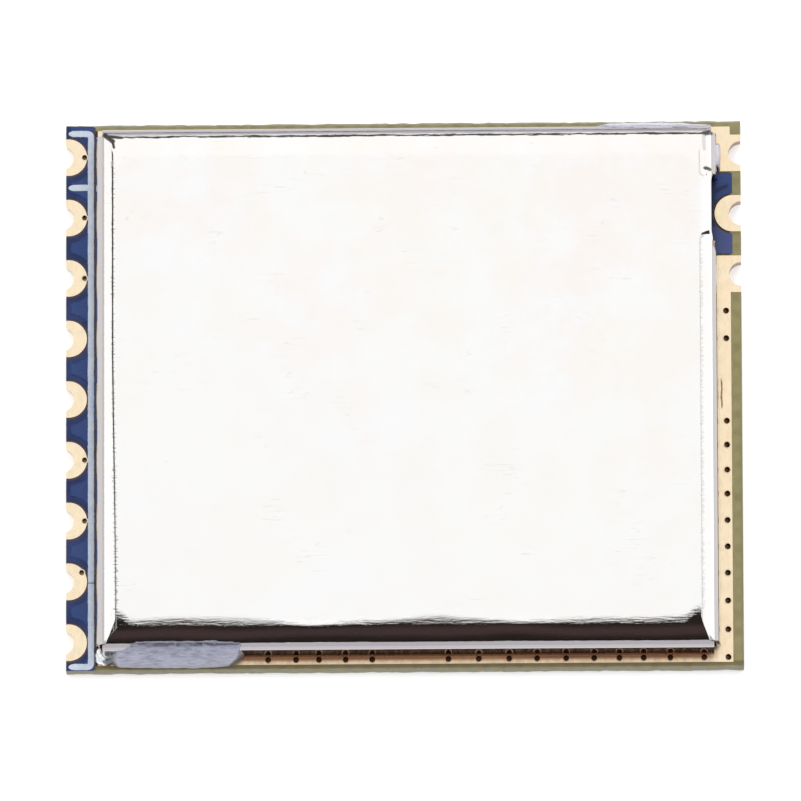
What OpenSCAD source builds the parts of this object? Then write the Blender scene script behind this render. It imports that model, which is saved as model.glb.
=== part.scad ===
// Video receiver module: a castellated circuit board with a folded tinplate shield can.
// Millimetres. +X runs from the pin row to the antenna edge, +Y to the back edge, +Z up.
// The origin is the middle of the underside.

/* [Board] */
// Width of the board, from the pin row to the antenna edge
board_w = 28; // [26:0.5:36]
// Thickness of the bare laminate
board_t = 0.8; // [0.6:0.1:1.6]
// Width of the score groove along the front and back edges, on each face
score_w = 0.1; // [0.05:0.01:0.15]
// Depth of that score groove
score_depth = 0.25; // [0.1:0.05:0.28]
// Thickness of the plated copper, on the faces and in the holes
copper_t = 0.05; // [0.03:0.01:0.07]
// Thickness of the solder mask on the top face
mask_t = 0.03; // [0.02:0.01:0.04]
// Bare strip between the solder mask and the copper it stops at
mask_gap = 0.08; // [0.05:0.01:0.15]

/* [Pin row] */
// Number of contacts along the left edge
contact_count = 9; // [8:1:14]
// Spacing of the contacts
contact_pitch = 2.54; // [2.2:0.01:3]
// Mean distance from the row's end contacts to the ends of the board
contact_end = 1.34; // [1.2:0.01:3]
// How far the row sits from the middle of the board, towards the back
row_offset = -0.07; // [-0.1:0.01:0.1]
// Finished diameter of the plated half-holes
hole_d = 1; // [0.7:0.05:1.2]
// How far the pin row's hole centres lie outside the board
hole_outset = 0.17; // [0:0.01:0.3]
// Diameter of the round land behind each half-hole
land_d = 1.54; // [1.4:0.02:1.7]
// How far the land's centre lies inside the edge
land_inset = 0.1; // [0:0.01:0.2]
// Finished diameter of the small via at a land's tip
tip_via_d = 0.2; // [0.15:0.01:0.25]
// Distance of a tip via from its land's centre
tip_via_out = 0.67; // [0.65:0.01:0.68]
// Direction of each land's tip via as seen from the land's centre, or -1 for none
tip_via_turn = [0, 0, 0, -1, -1, 0, 0, 35, -1];

/* [Antenna edge] */
// Length of the antenna contact's land, in from the edge
antenna_land = 1.1; // [0.9:0.05:1.4]

/* [Ground ring] */
// Bare laminate outside the ring at the front and back edges
ring_edge = 0.3; // [0.2:0.02:0.5]
// Bare laminate outside the ring at the antenna edge
ring_right = 0.44; // [0.3:0.02:0.6]
// Width of the pin row's strip, from the left edge to the ring
ring_left = 1.22; // [1.15:0.01:1.6]
// How far the ring reaches inside the can's walls
ring_lap = 0.35; // [0.2:0.05:0.8]
// Length of the break in the ring beside the pin row
ring_break = 2.1; // [1:0.1:3]
// Finished diameter of the stitching vias
via_d = 0.24; // [0.15:0.01:0.28]
// Distance of the stitching vias from the ring's outer edge
via_inset = 0.2; // [0.19:0.01:0.21]
// Usual spacing of the stitching vias
via_pitch = 1.1; // [0.9:0.05:1.3]
// Steps between the front vias, from the right corner to the left, in usual spacings
via_steps_front = [0.91, 1.27, 1, 0.91, 0.95, 1.05, 1.09, 1.05, 1.14, 1.14, 2.86, 1, 1, 0.86, 1.05];
// Steps between the right-hand vias, from the front corner to the back, in usual spacings
via_steps_right = [1.05, 1.09, 1.05, 1, 1, 1, 0.91, 0.95, 0.91, 3.14, 1.05];

/* [Shield can] */
// Thickness of the tinplate
sheet_t = 0.2; // [0.12:0.02:0.3]
// Height of the can above the ring
can_h = 2.1; // [1.9:0.1:4]
// Outer radius of the folds round the roof
fold_r = 0.9; // [0.5:0.05:1.1]
// Distance from the board's left edge to the can
can_left = 1.3; // [1.25:0.01:1.6]
// Distance from the board's antenna edge to the can
can_right = 0.94; // [0.9:0.02:1.4]
// Distance from the board's front edge to the can
can_front = 0.67; // [0.55:0.02:0.8]
// Distance from the board's back edge to the can
can_back = 0.45; // [0.4:0.02:0.8]
// Size of the open slot at each corner, where two walls meet
corner_slot = 0.28; // [0.15:0.02:0.5]
// Width of the opening in the right wall, at the antenna contact
antenna_slot = 2.8; // [2:0.1:3.2]
// How far the roof's tongue over that opening stops short of the wall
tongue_back = 0.36; // [0.1:0.02:0.5]
// Width of the mouse-hole in the left wall, over the break in the ring
mouse_hole_w = 1.8; // [0.8:0.1:2]
// Height of that mouse-hole
mouse_hole_h = 0.4; // [0.2:0.05:0.8]

/* [Solder and print] */
// Length of the solder bead at the front
bead_front_l = 5.6; // [3:0.1:8]
// Length of the solder bead at the back
bead_back_l = 5; // [3:0.1:8]
// Length of the solder bead beside the antenna opening
bead_side_l = 1.2; // [0.6:0.1:1.3]
// Height of the beads on the can's walls and folds
bead_h = 1.8; // [0.8:0.05:1.85]
// Distance from a bead's end to the end of its wall
bead_end = 0.05; // [0.05:0.05:1]
// How far a bead bulges over the edge of the ring
bead_bulge = 0.12; // [0.02:0.02:0.2]
// Width of the printed lines
ink_w = 0.25; // [0.15:0.01:0.3]
// Thickness of the ink
ink_t = 0.02; // [0.01:0.01:0.03]
// Distance of the back printed line from the back edge
ink_back = 0.4; // [0.3:0.02:0.5]
// Distance of the front printed line from the front edge
ink_front = 0.25; // [0.24:0.01:0.5]

/* [Parts under the can] */
// Side of the receiver chip
chip_w = 6; // [5:0.5:7]
// Height of the receiver chip
chip_h = 0.85; // [0.7:0.05:1]
// Terminals on each side of the receiver chip
chip_pins = 10; // [6:1:10]
// Spacing of those terminals
chip_pitch = 0.5; // [0.4:0.05:0.5]
// Length of each terminal under the chip
chip_pin_l = 0.4; // [0.3:0.05:0.5]
// Thickness of the chip's lead frame
chip_pin_t = 0.2; // [0.15:0.01:0.25]
// Side of the heat pad under the chip
chip_pad = 4.2; // [3:0.1:4.4]
// Side of the band filter
filter_w = 3.8; // [3:0.1:4.4]
// Height of the band filter's ceramic base
filter_h = 0.9; // [0.6:0.05:1]
// Length of the crystal
crystal_l = 3.2; // [2.5:0.1:4]
// Depth of the crystal
crystal_d = 2.5; // [2:0.1:3]
// Height of the crystal's ceramic base
crystal_h = 0.4; // [0.3:0.05:0.6]
// Thickness of the metal lids on the filter and the crystal
lid_t = 0.3; // [0.2:0.05:0.4]
// Rim of bare ceramic round those lids
lid_rim = 0.15; // [0.1:0.05:0.3]
// Length of the regulator's body
regulator_l = 2.9; // [2.5:0.1:3.2]
// Depth of the regulator's body
regulator_d = 1.6; // [1.4:0.1:1.8]
// Height of the regulator's body
regulator_h = 1.05; // [0.9:0.05:1.2]
// Spacing of the regulator's leads
regulator_pitch = 0.95; // [0.8:0.05:1.05]
// Reach of the regulator's leads beyond its body
lead_reach = 0.6; // [0.4:0.05:0.8]
// Thickness of the regulator's leads
lead_t = 0.15; // [0.1:0.01:0.2]
// Diameter of the dimple that marks the chip's first terminal
chip_dimple_d = 0.6; // [0.3:0.05:1]
// Length of a small chip capacitor
capacitor_l = 1; // [0.8:0.05:1.2]
// Depth and height of a small chip capacitor
capacitor_w = 0.5; // [0.4:0.05:0.6]
// Length of a chip resistor
resistor_l = 1; // [0.8:0.05:1.2]
// Depth of a chip resistor
resistor_w = 0.5; // [0.4:0.05:0.6]
// Height of a chip resistor
resistor_h = 0.35; // [0.3:0.05:0.5]
// Length of a matching inductor
inductor_l = 1.6; // [1.4:0.05:1.8]
// Depth and height of a matching inductor
inductor_w = 0.8; // [0.6:0.05:1]
// Length of a supply capacitor
bulk_l = 2; // [1.6:0.1:2.4]
// Depth of a supply capacitor
bulk_w = 1.25; // [1:0.05:1.4]
// Height of a supply capacitor
bulk_h = 1.2; // [0.8:0.1:1.4]
// Clearance between neighbouring parts
part_gap = 0.4; // [0.3:0.05:0.6]

/* [Hidden] */
$fn = 48;
// Overrun of every cutter past the face it cuts
cut = 1;

// Places on the board. The pin row fixes the board's depth.
row_l = (contact_count - 1) * contact_pitch;
board_d = row_l + 2 * contact_end;
x_left = -board_w / 2;
x_right = board_w / 2;
y_front = -board_d / 2;
y_back = board_d / 2;
z_laminate = copper_t;
z_top = z_laminate + board_t;
z_copper = z_top + copper_t;
z_mask = z_top + mask_t;
z_roof = z_copper + can_h;

function contact_y(i) = row_l / 2 + row_offset - (i - 1) * contact_pitch;
antenna_y = contact_y(2);
ground_contacts = [1, 3];
land_r = land_d / 2;
hole_r = hole_d / 2;
drill_r = hole_r + copper_t;
via_drill_r = via_d / 2 + copper_t;
tip_via_drill_r = tip_via_d / 2 + copper_t;
hole_x = x_left - hole_outset;
land_x = x_left + land_inset;

// The ring's outer edges, the can's outer faces and the ring's inner edges
ring_x0 = x_left + ring_left;
ring_x1 = x_right - ring_right;
ring_y0 = y_front + ring_edge;
ring_y1 = y_back - ring_edge;
can_x0 = x_left + can_left;
can_x1 = x_right - can_right;
can_y0 = y_front + can_front;
can_y1 = y_back - can_back;
can_w = can_x1 - can_x0;
can_d = can_y1 - can_y0;
can_mid = [(can_x0 + can_x1) / 2, (can_y0 + can_y1) / 2];
inner_x0 = can_x0 + sheet_t + ring_lap;
inner_x1 = can_x1 - sheet_t - ring_lap;
inner_y0 = can_y0 + sheet_t + ring_lap;
inner_y1 = can_y1 - sheet_t - ring_lap;

// The gap in the ring round the antenna contact
clear_y0 = contact_y(3) + land_r;
clear_y1 = contact_y(1) - land_r;

// Vias, counted on from the corner they share
function total(list, n) = n == 0 ? 0 : list[n - 1] + total(list, n - 1);
via_corner = [ring_x1 - via_inset, ring_y0 + via_inset];
vias_front = [for (n = [0:len(via_steps_front)]) via_corner - via_pitch * [total(via_steps_front, n), 0]];
vias_right = [for (n = [1:len(via_steps_right)]) via_corner + via_pitch * [0, total(via_steps_right, n)]];
via_x_limit = ring_x0 + via_drill_r;
via_y_limit = contact_y(3) - land_r;
vias = concat(
    [for (v = vias_front) if (v.x > via_x_limit) v],
    [for (v = vias_right) if (v.y < via_y_limit) v]
);

// Tip vias, as [contact number, place]
function tip_via_at(i) = [land_x, contact_y(i)]
    + tip_via_out * [cos(tip_via_turn[i - 1]), sin(tip_via_turn[i - 1])];
function has_tip_via(i) = i <= len(tip_via_turn) && tip_via_turn[i - 1] >= 0;
contacts = [for (i = [1:contact_count]) i];
tip_via_contacts = [for (i = contacts) if (has_tip_via(i)) i];

// Sizes of the two-ended chip parts, as length, depth and height
capacitor_size = [capacitor_l, capacitor_w, capacitor_w];
resistor_size = [resistor_l, resistor_w, resistor_h];
inductor_size = [inductor_l, inductor_w, inductor_w];
bulk_size = [bulk_l, bulk_w, bulk_h];

// Parts under the can, as [x, y, turn] from the middle of the can
chip_half = chip_w / 2;
chip_dimple_depth = chip_pin_t / 3;
side_out = chip_half + part_gap + capacitor_size.y;
filter_out = chip_half + 2 * part_gap + capacitor_size.y + filter_w / 2;
crystal_out = chip_half + 2 * part_gap + capacitor_size.y + crystal_l / 2;
bulk_out = chip_half + 2 * part_gap + capacitor_size.y + bulk_size.x / 2;
regulator_out = chip_half + 2 * part_gap + capacitor_size.y + regulator_l / 2;
inductor_out = chip_half + 2 * part_gap + capacitor_size.y + inductor_size.x / 2;
cap_step = capacitor_size.x + 2 * part_gap;
row_out = side_out + capacitor_size.y + part_gap + resistor_size.y;
chip_places = [[0, 0, 0]];
filter_places = [[filter_out, -filter_w / 2 - part_gap, 0]];
crystal_places = [[-crystal_out, bulk_size.y + 2 * part_gap + crystal_d / 2, 0]];
bulk_places = [for (s = [0, 1]) [-bulk_out, bulk_size.y / 2 - s * (bulk_size.y + part_gap), 0]];
regulator_deep = regulator_d / 2 + lead_reach;
regulator_places = [[-regulator_out, -bulk_size.y - 3 * part_gap - regulator_deep, 0]];
capacitor_places = concat(
    [for (k = [-1:1], s = [-1, 1]) [k * cap_step, s * side_out, 0]],
    [for (k = [-1:1], s = [-1, 1]) [s * side_out, k * cap_step, 90]]
);
resistor_places = [for (k = [-1:1], s = [-1, 1]) [k * cap_step, s * row_out, 0]];
inductor_step = inductor_size.y + part_gap;
inductor_places = [for (k = [0:2]) [inductor_out, inductor_size.y / 2 + part_gap + k * inductor_step, 0]];
end_share = 0.25;
body_shrink = 0.04;
land_over = 0.1;
pin_w = chip_pitch / 2;
chip_land_l = chip_pin_l + 2 * land_over;

gold = "#f6dcae";
tin = "#d9d7d8";
solder = "#aeabba";
laminate = "#94895f";
mask_blue = "#48547a";
ink_white = "#d2dbe4";
mould_black = "#26262a";
ceramic_tan = "#b59a78";
ceramic_white = "#e6e2da";

// A rectangle from one corner to the other
module area(from, to) {
    translate(from) square(to - from);
}

module board_outline() {
    area([x_left, y_front], [x_right, y_back]);
}

// A slab of a flat shape between two heights
module slab(low, high) {
    translate([0, 0, low]) linear_extrude(high - low) children();
}

module each_place(places) {
    for (p = places) translate([can_mid.x + p.x, can_mid.y + p.y]) rotate(p.z) children();
}

module at_points(points) {
    for (p = points) translate(p) children();
}

// The round part of the drill that the board's edge leaves, at a contact of the pin row
module pin_drill(i, r) {
    translate([hole_x, contact_y(i)]) circle(r);
}

module edge_drill(i, r) {
    translate([x_right, contact_y(i)]) circle(r);
}

module pin_land(i, grow = 0) {
    intersection() {
        translate([land_x, contact_y(i)]) circle(land_r + grow);
        board_outline();
    }
}

// The antenna contact's land: a half round behind a straight stretch to the edge
module antenna_land_shape(grow = 0) {
    round_x = x_right - antenna_land + land_r;
    intersection() {
        union() {
            translate([round_x, antenna_y]) circle(land_r + grow);
            area([round_x, antenna_y - land_r - grow], [x_right, antenna_y + land_r + grow]);
        }
        board_outline();
    }
}

module ground_land(i) {
    area([ring_x1 - via_inset, contact_y(i) - land_r], [x_right, contact_y(i) + land_r]);
}

// Laminate with a V-groove scored along its front and back edges on both faces
module circuit_board() {
    groove = [for (s = [-1, 1]) [s * y_back, s * (y_back - score_w)]];
    z_low = z_laminate + score_depth;
    z_high = z_top - score_depth;
    color(laminate) difference() {
        translate([x_left, 0, 0]) rotate([90, 0, 90]) linear_extrude(board_w) polygon([
            [groove[0][1], z_laminate], [groove[1][1], z_laminate],
            [groove[1][0], z_low], [groove[1][0], z_high],
            [groove[1][1], z_top], [groove[0][1], z_top],
            [groove[0][0], z_high], [groove[0][0], z_low]
        ]);
        slab(z_laminate - cut, z_top + cut) {
            for (i = contacts) pin_drill(i, drill_r);
            for (i = [1:3]) edge_drill(i, drill_r);
            at_points(vias) circle(via_drill_r);
            for (i = tip_via_contacts) translate(tip_via_at(i)) circle(tip_via_drill_r);
        }
    }
}

// The ring under the can's walls, open beside the pin row and round the antenna contact
module ring_shape() {
    difference() {
        union() {
            difference() {
                area([ring_x0, ring_y0], [ring_x1, ring_y1]);
                area([inner_x0, inner_y0], [inner_x1, inner_y1]);
            }
            for (i = ground_contacts) ground_land(i);
        }
        area([ring_x0 - cut, -ring_break / 2], [inner_x0 + cut, ring_break / 2]);
        area([inner_x1 - cut, clear_y0], [x_right + cut, clear_y1]);
    }
}

module ground_ring() {
    color(gold) difference() {
        union() {
            slab(z_top, z_copper) ring_shape();
            slab(z_laminate, z_copper) at_points(vias) circle(via_drill_r);
            slab(0, z_copper) for (i = ground_contacts) intersection() {
                edge_drill(i, drill_r);
                board_outline();
            }
            slab(0, z_laminate) for (i = ground_contacts) ground_land(i);
        }
        slab(-cut, z_copper + cut) {
            for (i = ground_contacts) edge_drill(i, hole_r);
            at_points(vias) circle(via_d / 2);
        }
    }
}

// One castellated contact: two lands, the plated half-hole between them and a via that the lower land closes
module edge_contact(i) {
    color(gold) difference() {
        union() {
            slab(z_top, z_copper) pin_land(i);
            slab(0, z_laminate) pin_land(i);
            slab(0, z_copper) intersection() {
                pin_drill(i, drill_r);
                board_outline();
            }
            if (has_tip_via(i)) slab(0, z_copper) translate(tip_via_at(i)) circle(tip_via_drill_r);
        }
        slab(-cut, z_copper + cut) pin_drill(i, hole_r);
        if (has_tip_via(i)) slab(z_laminate, z_copper + cut) translate(tip_via_at(i)) circle(tip_via_d / 2);
    }
}

module antenna_contact() {
    color(gold) difference() {
        union() {
            slab(z_top, z_copper) antenna_land_shape();
            slab(0, z_laminate) antenna_land_shape();
            slab(0, z_copper) intersection() {
                edge_drill(2, drill_r);
                board_outline();
            }
        }
        slab(-cut, z_copper + cut) edge_drill(2, hole_r);
    }
}

// One window in the mask for each part under the can
module part_windows() {
    chip_window = chip_w + 4 * land_over + 2 * mask_gap;
    each_place(chip_places) square(chip_window, center = true);
    each_place(filter_places) square(filter_w + 2 * mask_gap, center = true);
    each_place(crystal_places) square([crystal_l, crystal_d] + 2 * [mask_gap, mask_gap], center = true);
    each_place(regulator_places)
        square([regulator_l, 2 * (regulator_deep + land_over)] + 2 * [mask_gap, mask_gap], center = true);
    chip_windows(bulk_places, bulk_size);
    chip_windows(capacitor_places, capacitor_size);
    chip_windows(resistor_places, resistor_size);
    chip_windows(inductor_places, inductor_size);
}

module chip_windows(places, size) {
    margin = 2 * (land_over + mask_gap);
    each_place(places) square([size.x + margin, size.y + margin], center = true);
}

module solder_mask_top() {
    color(mask_blue) slab(z_top, z_mask) difference() {
        union() {
            area([x_left, y_front + score_w], [ring_x0 - mask_gap, y_back - score_w]);
            area([inner_x0 + mask_gap, inner_y0 + mask_gap], [inner_x1 - mask_gap, inner_y1 - mask_gap]);
            area([x_left + ring_left / 2, mask_gap - ring_break / 2], [inner_x0 + cut, ring_break / 2 - mask_gap]);
            area([inner_x1 - cut, clear_y0 + mask_gap], [ring_x1 + mask_gap, clear_y1 - mask_gap]);
        }
        for (i = contacts) pin_land(i, mask_gap);
        antenna_land_shape(mask_gap);
        part_windows();
    }
}

// The film on the underside covers the vias and stops short of the contacts
module solder_mask_bottom() {
    color(mask_blue) slab(0, z_laminate) difference() {
        area([x_left, y_front + score_w], [x_right, y_back - score_w]);
        for (i = contacts) pin_land(i, mask_gap);
        antenna_land_shape(mask_gap);
        for (i = ground_contacts)
            area(
                [ring_x1 - via_inset - mask_gap, contact_y(i) - land_r - mask_gap],
                [x_right + cut, contact_y(i) + land_r + mask_gap]
            );
    }
}

// A printed frame beside the pin row, with a bar that marks off the first contact
module silkscreen_lines() {
    line_x1 = ring_x0 - mask_gap;
    bars = [y_back - ink_back, (contact_y(1) + contact_y(2)) / 2, y_front + ink_front];
    color(ink_white) slab(z_mask, z_mask + ink_t) difference() {
        union() {
            area([line_x1 - ink_w, bars[2]], [line_x1, bars[0]]);
            for (y = bars) area([x_left + ink_w * 0.4, y - ink_w / 2], [line_x1, y + ink_w / 2]);
        }
        for (i = contacts) pin_land(i, mask_gap);
    }
}

// The section of a sheet folded down on both sides, with rounded folds
module folded_section(w, h, r) {
    translate([-w / 2, 0]) square([w, h - r]);
    translate([r - w / 2, 0]) square([w - 2 * r, h]);
    for (s = [-1, 1]) translate([s * (w / 2 - r), h - r]) circle(r);
}

// A roof folded down on all four sides, mitred where the folds meet
module folded_roof(w, d, h, r) {
    intersection() {
        translate([-w / 2, 0, 0]) rotate([90, 0, 90]) linear_extrude(w) folded_section(d, h, r);
        translate([0, d / 2, 0]) rotate([90, 0, 0]) linear_extrude(d) folded_section(w, h, r);
    }
}

// The can as if it were solid
module can_block() {
    translate([can_mid.x, can_mid.y, z_copper]) folded_roof(can_w, can_d, can_h, fold_r);
}

module shield_can() {
    fold_x = can_x1 - fold_r;
    slot_y0 = antenna_y - antenna_slot / 2;
    slot_y1 = antenna_y + antenna_slot / 2;
    color(tin) {
        difference() {
            can_block();
            translate([can_mid.x, can_mid.y, z_copper - cut])
                folded_roof(can_w - 2 * sheet_t, can_d - 2 * sheet_t, can_h - sheet_t + cut, fold_r - sheet_t);
            slab(z_copper - cut, z_roof + cut) {
                for (x = [can_x0 - cut, can_x1 - corner_slot], y = [can_y0 - cut, can_y1 - corner_slot])
                    translate([x, y]) square(corner_slot + cut);
                area([fold_x, slot_y0], [can_x1 + cut, slot_y1]);
            }
            slab(z_copper - cut, z_copper + mouse_hole_h)
                area([can_x0 - cut, -mouse_hole_w / 2], [can_x0 + sheet_t + cut, mouse_hole_w / 2]);
        }
        slab(z_roof - sheet_t, z_roof)
            area([fold_x - fold_r, slot_y0], [can_x1 - tongue_back, slot_y1]);
    }
}

// A solder joint along a wall: the wall is the plane y = 0 and the ring the plane z = 0.
// Its section swells over the ring's edge, it thins towards both ends, and it runs on into the can,
// which trims it.
module solder_bead(length, foot) {
    slices = 10;
    slice_t = 0.01;
    swell_z = bead_h * 0.1;
    reach = foot + bead_bulge + sheet_t;
    arc = [for (a = [0:15:90]) [sheet_t - reach * cos(a), swell_z + (bead_h - swell_z) * sin(a)]];
    section = concat([[sheet_t, 0], [-foot, 0]], arc);
    hull() for (k = [0:slices]) {
        along = k / slices;
        fullness = 0.25 + 0.75 * sqrt(1 - pow(abs(2 * along - 1), 6));
        translate([along * (length - slice_t), 0, 0]) rotate([90, 0, 90]) linear_extrude(slice_t)
            polygon(section * fullness);
    }
}

// A bead at a place on the can, trimmed to lie against its wall and fold
module trimmed_bead(at, turn, length, foot) {
    color(solder) difference() {
        translate([at.x, at.y, z_copper]) rotate(turn) solder_bead(length, foot);
        can_block();
    }
}

module solder_bead_front() {
    start = can_x0 + corner_slot + bead_end;
    trimmed_bead([start, can_y0], 0, bead_front_l, can_y0 - ring_y0);
}

module solder_bead_back() {
    start = can_x1 - corner_slot - bead_end;
    trimmed_bead([start, can_y1], 180, bead_back_l, ring_y1 - can_y1);
}

module solder_bead_side() {
    wall_y = (antenna_y + antenna_slot / 2 + can_y1 - corner_slot) / 2;
    trimmed_bead([can_x1, wall_y - bead_side_l / 2], 90, bead_side_l, sheet_t / 4);
}

// Places of the chip's terminals along its four sides
module each_terminal() {
    for (side = [0:3], k = [0:chip_pins - 1]) rotate(90 * side)
        translate([chip_half, (k - (chip_pins - 1) / 2) * chip_pitch]) children();
}

module terminal_shapes() {
    each_terminal() translate([-chip_pin_l, -pin_w / 2]) square([chip_pin_l, pin_w]);
    square(chip_pad, center = true);
}

module receiver_chip_body() {
    color(mould_black) each_place_solid(chip_places) difference() {
        slab(z_copper, z_copper + chip_h) square(chip_w, center = true);
        slab(z_copper - cut, z_copper + chip_pin_t) terminal_shapes();
        slab(z_copper + chip_h - chip_dimple_depth, z_copper + chip_h + cut)
            translate([chip_dimple_d - chip_half, chip_half - chip_dimple_d]) circle(chip_dimple_d / 2);
    }
}

module receiver_chip_terminals() {
    color(tin) each_place_solid(chip_places) slab(z_copper, z_copper + chip_pin_t) terminal_shapes();
}

module each_place_solid(places) {
    for (p = places) translate([can_mid.x + p.x, can_mid.y + p.y, 0]) rotate(p.z) children();
}

// A ceramic package with rounded corners, as a flat shape
module package_shape(w, d, r) {
    square([w - 2 * r, d], center = true);
    square([w, d - 2 * r], center = true);
    for (x = [-1, 1], y = [-1, 1]) translate([x * (w / 2 - r), y * (d / 2 - r)]) circle(r);
}

module filter_base() {
    color(ceramic_white) each_place_solid(filter_places)
        slab(z_copper, z_copper + filter_h) square(filter_w, center = true);
}

module filter_lid() {
    side = filter_w - 2 * lid_rim;
    z = z_copper + filter_h;
    color(gold) each_place_solid(filter_places) slab(z, z + lid_t) package_shape(side, side, 2 * lid_rim);
}

module crystal_base() {
    color(ceramic_tan) each_place_solid(crystal_places)
        slab(z_copper, z_copper + crystal_h) square([crystal_l, crystal_d], center = true);
}

module crystal_lid() {
    z = z_copper + crystal_h;
    color(tin) each_place_solid(crystal_places)
        slab(z, z + lid_t) package_shape(crystal_l - 2 * lid_rim, crystal_d - 2 * lid_rim, 2 * lid_rim);
}

// Five leads: three on one side, the outer two on the other
module each_lead() {
    for (k = [-1:1]) translate([k * regulator_pitch, 0, 0]) children();
    for (k = [-1, 1]) translate([k * regulator_pitch, 0, 0]) rotate(180) children();
}

module regulator_body() {
    half = regulator_d / 2;
    draft = lead_t / 2;
    middle = regulator_h / 2;
    color(mould_black) each_place_solid(regulator_places) translate([-regulator_l / 2, 0, z_copper + lead_t / 2])
        rotate([90, 0, 90]) linear_extrude(regulator_l) polygon([
            [draft - half, 0], [half - draft, 0], [half, middle],
            [half - draft, regulator_h], [draft - half, regulator_h], [-half, middle]
        ]);
}

// Each lead leaves the body at half height, bends down and lies flat on its land
module regulator_leads() {
    half = regulator_d / 2;
    lead_w = regulator_pitch * 0.42;
    high = (regulator_h + lead_t) / 2;
    knee = half + lead_reach * 0.4;
    tip = half + lead_reach;
    color(tin) each_place_solid(regulator_places) each_lead()
        translate([-lead_w / 2, 0, z_copper]) rotate([90, 0, 90]) linear_extrude(lead_w) polygon([
            [half, high - lead_t / 2], [knee - lead_t, high - lead_t / 2], [knee - lead_t, 0], [tip, 0],
            [tip, lead_t], [knee, lead_t], [knee, high + lead_t / 2], [half, high + lead_t / 2]
        ]);
}

// Ceramic middles and plated ends of the two-ended chip parts
module chip_bodies(places, size) {
    middle = size.x * (1 - 2 * end_share);
    each_place_solid(places) translate([-middle / 2, body_shrink / 2 - size.y / 2, z_copper + body_shrink / 2])
        cube([middle, size.y - body_shrink, size.z - body_shrink]);
}

module chip_ends(places, size) {
    end = size.x * end_share;
    each_place_solid(places) for (x = [-size.x / 2, size.x / 2 - end])
        translate([x, -size.y / 2, z_copper]) cube([end, size.y, size.z]);
}

module chip_lands(places, size) {
    end = size.x * end_share + land_over;
    each_place(places) for (x = [-size.x / 2 - land_over, size.x / 2 + land_over - end])
        translate([x, -size.y / 2]) square([end, size.y]);
}

module corner_lands(places, w, d) {
    each_place(places) for (x = [-1, 1], y = [-1, 1])
        translate([x * w / 3, y * d / 3]) square([w / 4, d / 4], center = true);
}

module bulk_capacitor_bodies() {
    color(ceramic_tan) chip_bodies(bulk_places, bulk_size);
}

module bulk_capacitor_ends() {
    color(tin) chip_ends(bulk_places, bulk_size);
}

module capacitor_bodies() {
    color(ceramic_tan) chip_bodies(capacitor_places, capacitor_size);
}

module capacitor_ends() {
    color(tin) chip_ends(capacitor_places, capacitor_size);
}

module resistor_bodies() {
    color(mould_black) chip_bodies(resistor_places, resistor_size);
}

module resistor_ends() {
    color(tin) chip_ends(resistor_places, resistor_size);
}

module inductor_bodies() {
    color(ceramic_white) chip_bodies(inductor_places, inductor_size);
}

module inductor_ends() {
    color(tin) chip_ends(inductor_places, inductor_size);
}

module component_lands() {
    lead_land = lead_reach + 2 * land_over;
    color(gold) slab(z_top, z_copper) {
        each_place(chip_places) {
            square(chip_pad, center = true);
            each_terminal() translate([2 * land_over - chip_land_l, -pin_w / 2]) square([chip_land_l, pin_w]);
        }
        corner_lands(filter_places, filter_w, filter_w);
        corner_lands(crystal_places, crystal_l, crystal_d);
        each_place(regulator_places) each_lead()
            translate([-regulator_pitch / 4, regulator_deep + land_over - lead_land])
                square([regulator_pitch / 2, lead_land]);
        chip_lands(bulk_places, bulk_size);
        chip_lands(capacitor_places, capacitor_size);
        chip_lands(resistor_places, resistor_size);
        chip_lands(inductor_places, inductor_size);
    }
}

circuit_board();
solder_mask_top();
solder_mask_bottom();
silkscreen_lines();
ground_ring();
for (i = contacts) edge_contact(i);
antenna_contact();
shield_can();
solder_bead_front();
solder_bead_back();
solder_bead_side();
component_lands();
receiver_chip_body();
receiver_chip_terminals();
filter_base();
filter_lid();
crystal_base();
crystal_lid();
regulator_body();
regulator_leads();
bulk_capacitor_bodies();
bulk_capacitor_ends();
capacitor_bodies();
capacitor_ends();
resistor_bodies();
resistor_ends();
inductor_bodies();
inductor_ends();
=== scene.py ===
"""Looks of a video receiver module: a castellated board under a folded tinplate can.

Every length is in metres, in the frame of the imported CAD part: +X runs from the pin row to the
antenna edge, +Y to the back edge and +Z up. The materials work in millimetres.
"""

import math

import bmesh
import bpy
from mathutils import Matrix, Vector, noise


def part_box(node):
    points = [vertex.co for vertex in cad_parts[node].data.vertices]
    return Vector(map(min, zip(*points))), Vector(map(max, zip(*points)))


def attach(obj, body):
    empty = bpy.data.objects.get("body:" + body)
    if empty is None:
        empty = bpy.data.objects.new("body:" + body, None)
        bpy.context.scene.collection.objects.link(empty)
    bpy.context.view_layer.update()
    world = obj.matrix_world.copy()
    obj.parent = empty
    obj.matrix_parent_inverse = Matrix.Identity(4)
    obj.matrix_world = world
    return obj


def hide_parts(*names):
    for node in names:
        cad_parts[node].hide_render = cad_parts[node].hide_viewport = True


bl_info = {
    "name": "Video receiver module",
    "version": (1, 0, 0),
    "blender": (4, 5, 0),
    "location": "View3D > Sidebar > Receiver",
    "description": "Dresses the packed receiver module with its board, can, solder and finishes",
    "category": "Object",
}

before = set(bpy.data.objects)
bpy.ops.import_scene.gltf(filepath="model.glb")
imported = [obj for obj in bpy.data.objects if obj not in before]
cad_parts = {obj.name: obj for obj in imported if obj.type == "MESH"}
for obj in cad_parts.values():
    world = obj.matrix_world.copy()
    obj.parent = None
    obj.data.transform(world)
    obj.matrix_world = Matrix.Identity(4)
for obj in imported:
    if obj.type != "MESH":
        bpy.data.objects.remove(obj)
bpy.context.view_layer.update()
MM = 0.001

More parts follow.
